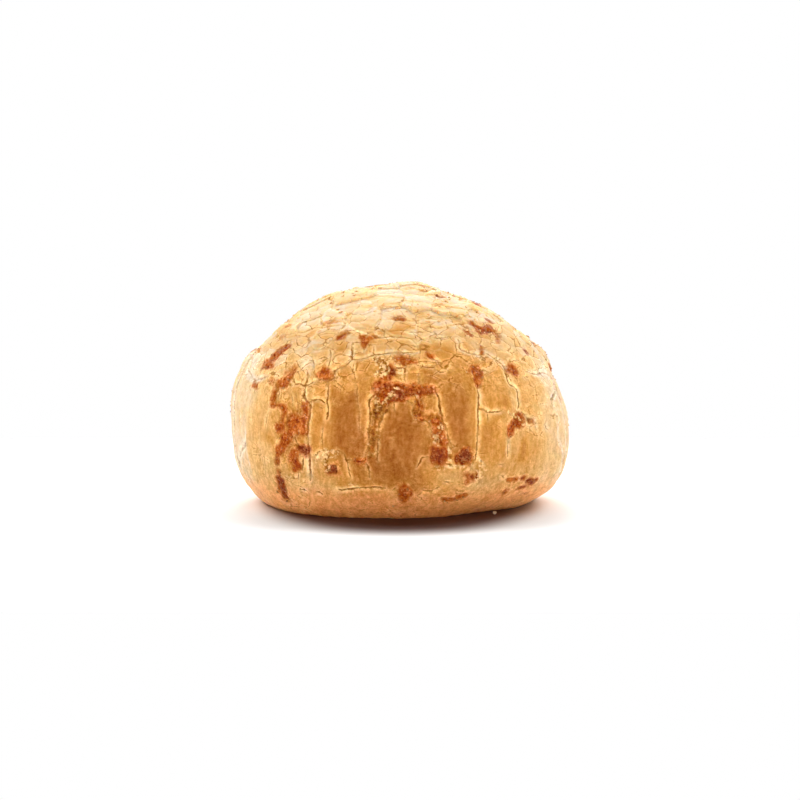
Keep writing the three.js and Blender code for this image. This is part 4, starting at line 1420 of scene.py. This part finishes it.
def strew(name, crust, choices):
    """Runs the scatter tree on the crust with these inputs and keeps what it strews as a plain mesh."""
    tree = bpy.data.node_groups.get("strewn bits") or scatter_tree()
    carrier = bpy.data.objects.new(name, crust.data)
    bpy.context.collection.objects.link(carrier)
    modifier = carrier.modifiers.new("strewn", "NODES")
    modifier.node_group = tree
    identifiers = {item.name: item.identifier for item in tree.interface.items_tree if item.in_out == "INPUT"}
    for key, value in choices.items():
        modifier[identifiers[key]] = value
    evaluated = carrier.evaluated_get(bpy.context.evaluated_depsgraph_get())
    mesh = bpy.data.meshes.new_from_object(evaluated)
    if not len(mesh.polygons):
        raise RuntimeError(f"{name}: nothing was strewn")
    carrier.modifiers.remove(modifier)
    carrier.data = mesh
    mesh.name = name
    settle(carrier)
    return carrier


class BUN_OT_crust(bpy.types.Operator):
    """Builds the bun's body: its form, cracks, tears and crags, with the crust's finish"""

    bl_idname = "bun.crust"
    bl_label = "Crust"

    def execute(self, context):
        points, faces, marks = bake_crust_mesh()
        crust = mesh_object("crust", points, faces, crust_finish(context.scene.crust_look))
        for name, values in marks.items():
            mark = crust.data.attributes.new(name, "FLOAT", "POINT")
            mark.data.foreach_set("value", values.astype(np.float32))
        settle(crust)
        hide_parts(NODE)
        return {"FINISHED"}


class BUN_OT_grains(bpy.types.Operator):
    """Strews browned cheese grains in the tears, and pale ones along their edges and in crumbled patches"""

    bl_idname = "bun.grains"
    bl_label = "Cheese grains"

    def execute(self, context):
        look, sizes = context.scene.crust_look, context.scene.crumb_sizes
        crust = bpy.data.objects["crust"]
        grains = {"Apart": BITS_APART, "Smallest": sizes.grain_small, "Largest": sizes.grain_large}
        grains |= {"Thickness": 0.8, "Tilt": 1.5}
        browned = {"Where": "browned_share", "Per Area": 1.6e6, "Seed": 3}
        browned["Material"] = loose_finish("browned cheese grains", look.gutter, look.browned, 0.5)
        pale = {"Where": "pale_share", "Per Area": 0.45e6, "Seed": 8}
        pale["Material"] = loose_finish("pale crumb", look.straw, look.gutter, 0.75)
        strew("browned_grains", crust, grains | browned)
        strew("pale_grains", crust, grains | pale)
        return {"FINISHED"}


class BUN_OT_flakes(bpy.types.Operator):
    """Strews thin skin flakes over the crown, most of them along its cracks"""

    bl_idname = "bun.flakes"
    bl_label = "Skin flakes"

    def execute(self, context):
        look, sizes = context.scene.crust_look, context.scene.crumb_sizes
        flakes = {"Apart": BITS_APART, "Smallest": sizes.flake_small, "Largest": sizes.flake_large}
        flakes |= {"Thickness": 0.22, "Tilt": 0.5, "Where": "flake_share", "Per Area": 1.6e6, "Seed": 5}
        flakes["Material"] = loose_finish("skin flakes", look.straw, look.amber, 0.7)
        strew("skin_flakes", bpy.data.objects["crust"], flakes)
        return {"FINISHED"}


CRUMB_ROUND = 41.5
CRUMB_OUT = 0.93
CRUMB_LEVEL = 2.0  # the height at which the bun's side is measured to place the crumb


class BUN_OT_crumb(bpy.types.Operator):
    """Sets down the one pale crumb that has fallen beside the base"""

    bl_idname = "bun.crumb"
    bl_label = "Fallen crumb"

    def execute(self, context):
        look, radius = context.scene.crust_look, context.scene.crumb_sizes.crumb / MM
        ways, faces = icosphere(2)
        lumpy = ways * (1 + 0.3 * noise(ways, 0.9, (4, 4, 4)))[:, None] * (radius, radius, 0.8 * radius)
        lumpy[:, 2] -= lumpy[:, 2].min()
        at = places([CRUMB_ROUND], [CRUMB_LEVEL])[0] * CRUMB_OUT
        points = lumpy + (at[0], at[1], 0)
        settle(mesh_object("fallen_crumb", points, faces, loose_finish("crumb", look.cream, look.cream, 0.7)))
        return {"FINISHED"}


# ---- Stage ----

FLOOR_SIZE = 0.2
SHADE_CENTRE = (0.0, -10.0, 0.0)  # the floor's darkest shade, under the bun and just in front of it
SHADE_REACH = (21.5, 28.0)
PAPER = 0.9, 0.9, 0.9, 1.0
SHADED_PAPER = 0.2, 0.13, 0.12, 1.0
WHITE = 1.0, 1.0, 1.0, 1.0

Glow = namedtuple("Glow", "round height strength edge core")
GLOWS = {
    "back panel": Glow(180, 47, 10.0, 24, 8),
    "left panel": Glow(-128, 46, 9.5, 24, 8),
    "right panel": Glow(128, 46, 9.5, 24, 8),
}
STRIP_LIGHT = 5.6  # a low strip in front, which lights the bun but hardly its own shadow
STRIP_TOP = 0.2


def build_floor():
    """White paper, with a warm shade painted under the bun, which only the camera sees."""
    material = new_material("white sweep")
    recipe = Recipe(material.node_tree)
    step = recipe.vectors("SUBTRACT", recipe.millimetres(), SHADE_CENTRE)
    step = recipe.vectors("MULTIPLY", step, (1 / SHADE_REACH[0], 1 / SHADE_REACH[1], 0.0))
    out = recipe.vectors("LENGTH", step, output=1)
    eye = recipe.make("ShaderNodeLightPath", output="Is Camera Ray")
    colour = recipe.blend(out.step(1.2, 0.8) * eye, PAPER, SHADED_PAPER)
    paper = recipe.make("ShaderNodeBsdfDiffuse", inputs={"Color": colour})
    recipe.make("ShaderNodeOutputMaterial", inputs={"Surface": paper})
    half = FLOOR_SIZE / 2 / MM
    corners = np.array([(-half, -half, 0), (half, -half, 0), (half, half, 0), (-half, half, 0)])
    mesh_object("floor", corners, np.array([(0, 1, 2, 3)]), material)


def build_light(scene):
    """White all round to the eye. As light, soft panels behind and at the sides, and a low strip in front."""
    world = bpy.data.worlds.new("soft studio")
    world.use_nodes = True
    scene.world = world
    recipe = Recipe(world.node_tree)
    way = recipe.make("ShaderNodeTexCoord", output="Generated")
    strength = STRIP_LIGHT * recipe.axis(way, 2).step(STRIP_TOP, 0.0) * recipe.axis(way, 1).step(-0.1, -0.6)
    for glow in GLOWS.values():
        towards = tuple(directions([glow.round], [math.radians(90 - glow.height)])[0])
        facing = recipe.vectors("DOT_PRODUCT", way, towards, output=1)
        edge, core = math.cos(math.radians(glow.edge)), math.cos(math.radians(glow.core))
        strength = strength + glow.strength * facing.step(edge, core)
    eye = recipe.make("ShaderNodeLightPath", output="Is Camera Ray")
    strength = strength + eye * (1.0 - strength)
    sky = recipe.make("ShaderNodeBackground", inputs={"Color": WHITE, "Strength": strength})
    recipe.make("ShaderNodeOutputWorld", inputs={"Surface": sky})
    scene.view_settings.view_transform = "Standard"
    scene.view_settings.look = "None"


def build_camera(scene):
    data = bpy.data.cameras.new("camera")
    data.lens = LENS
    data.sensor_width = SENSOR
    data.clip_start = 0.01
    camera = bpy.data.objects.new("camera", data)
    scene.collection.objects.link(camera)
    camera.location = CAMERA_AT * MM
    camera.rotation_euler = (math.radians(90 - CAMERA_RISE), 0, 0)
    scene.camera = camera


class BUN_OT_stage(bpy.types.Operator):
    """Sets up the white floor, the soft light all round and the camera"""

    bl_idname = "bun.stage"
    bl_label = "Stage"

    def execute(self, context):
        build_floor()
        build_light(context.scene)
        build_camera(context.scene)
        return {"FINISHED"}


class BUN_PT_panel(bpy.types.Panel):
    """Lists the bun's pieces, sizes and colours"""

    bl_idname = "BUN_PT_panel"
    bl_label = "Cheese Bun"
    bl_space_type = "VIEW_3D"
    bl_region_type = "UI"
    bl_category = "Bun"

    def draw(self, context):
        for group in (context.scene.crust_look, context.scene.crumb_sizes):
            for name in group.__annotations__:
                self.layout.prop(group, name)
        for operator in OPERATORS:
            self.layout.operator(operator.bl_idname)


OPERATORS = (BUN_OT_crust, BUN_OT_grains, BUN_OT_flakes, BUN_OT_crumb, BUN_OT_stage)
CLASSES = (CrustLook, CrumbSizes, *OPERATORS, BUN_PT_panel)


def register():
    for kind in CLASSES:
        bpy.utils.register_class(kind)
    bpy.types.Scene.crust_look = bpy.props.PointerProperty(type=CrustLook)
    bpy.types.Scene.crumb_sizes = bpy.props.PointerProperty(type=CrumbSizes)


def unregister():
    del bpy.types.Scene.crust_look
    del bpy.types.Scene.crumb_sizes
    for kind in reversed(CLASSES):
        bpy.utils.unregister_class(kind)


def main():
    register()
    bpy.ops.bun.crust()
    bpy.ops.bun.grains()
    bpy.ops.bun.flakes()
    bpy.ops.bun.crumb()
    bpy.ops.bun.stage()


if __name__ == "__main__":
    main()
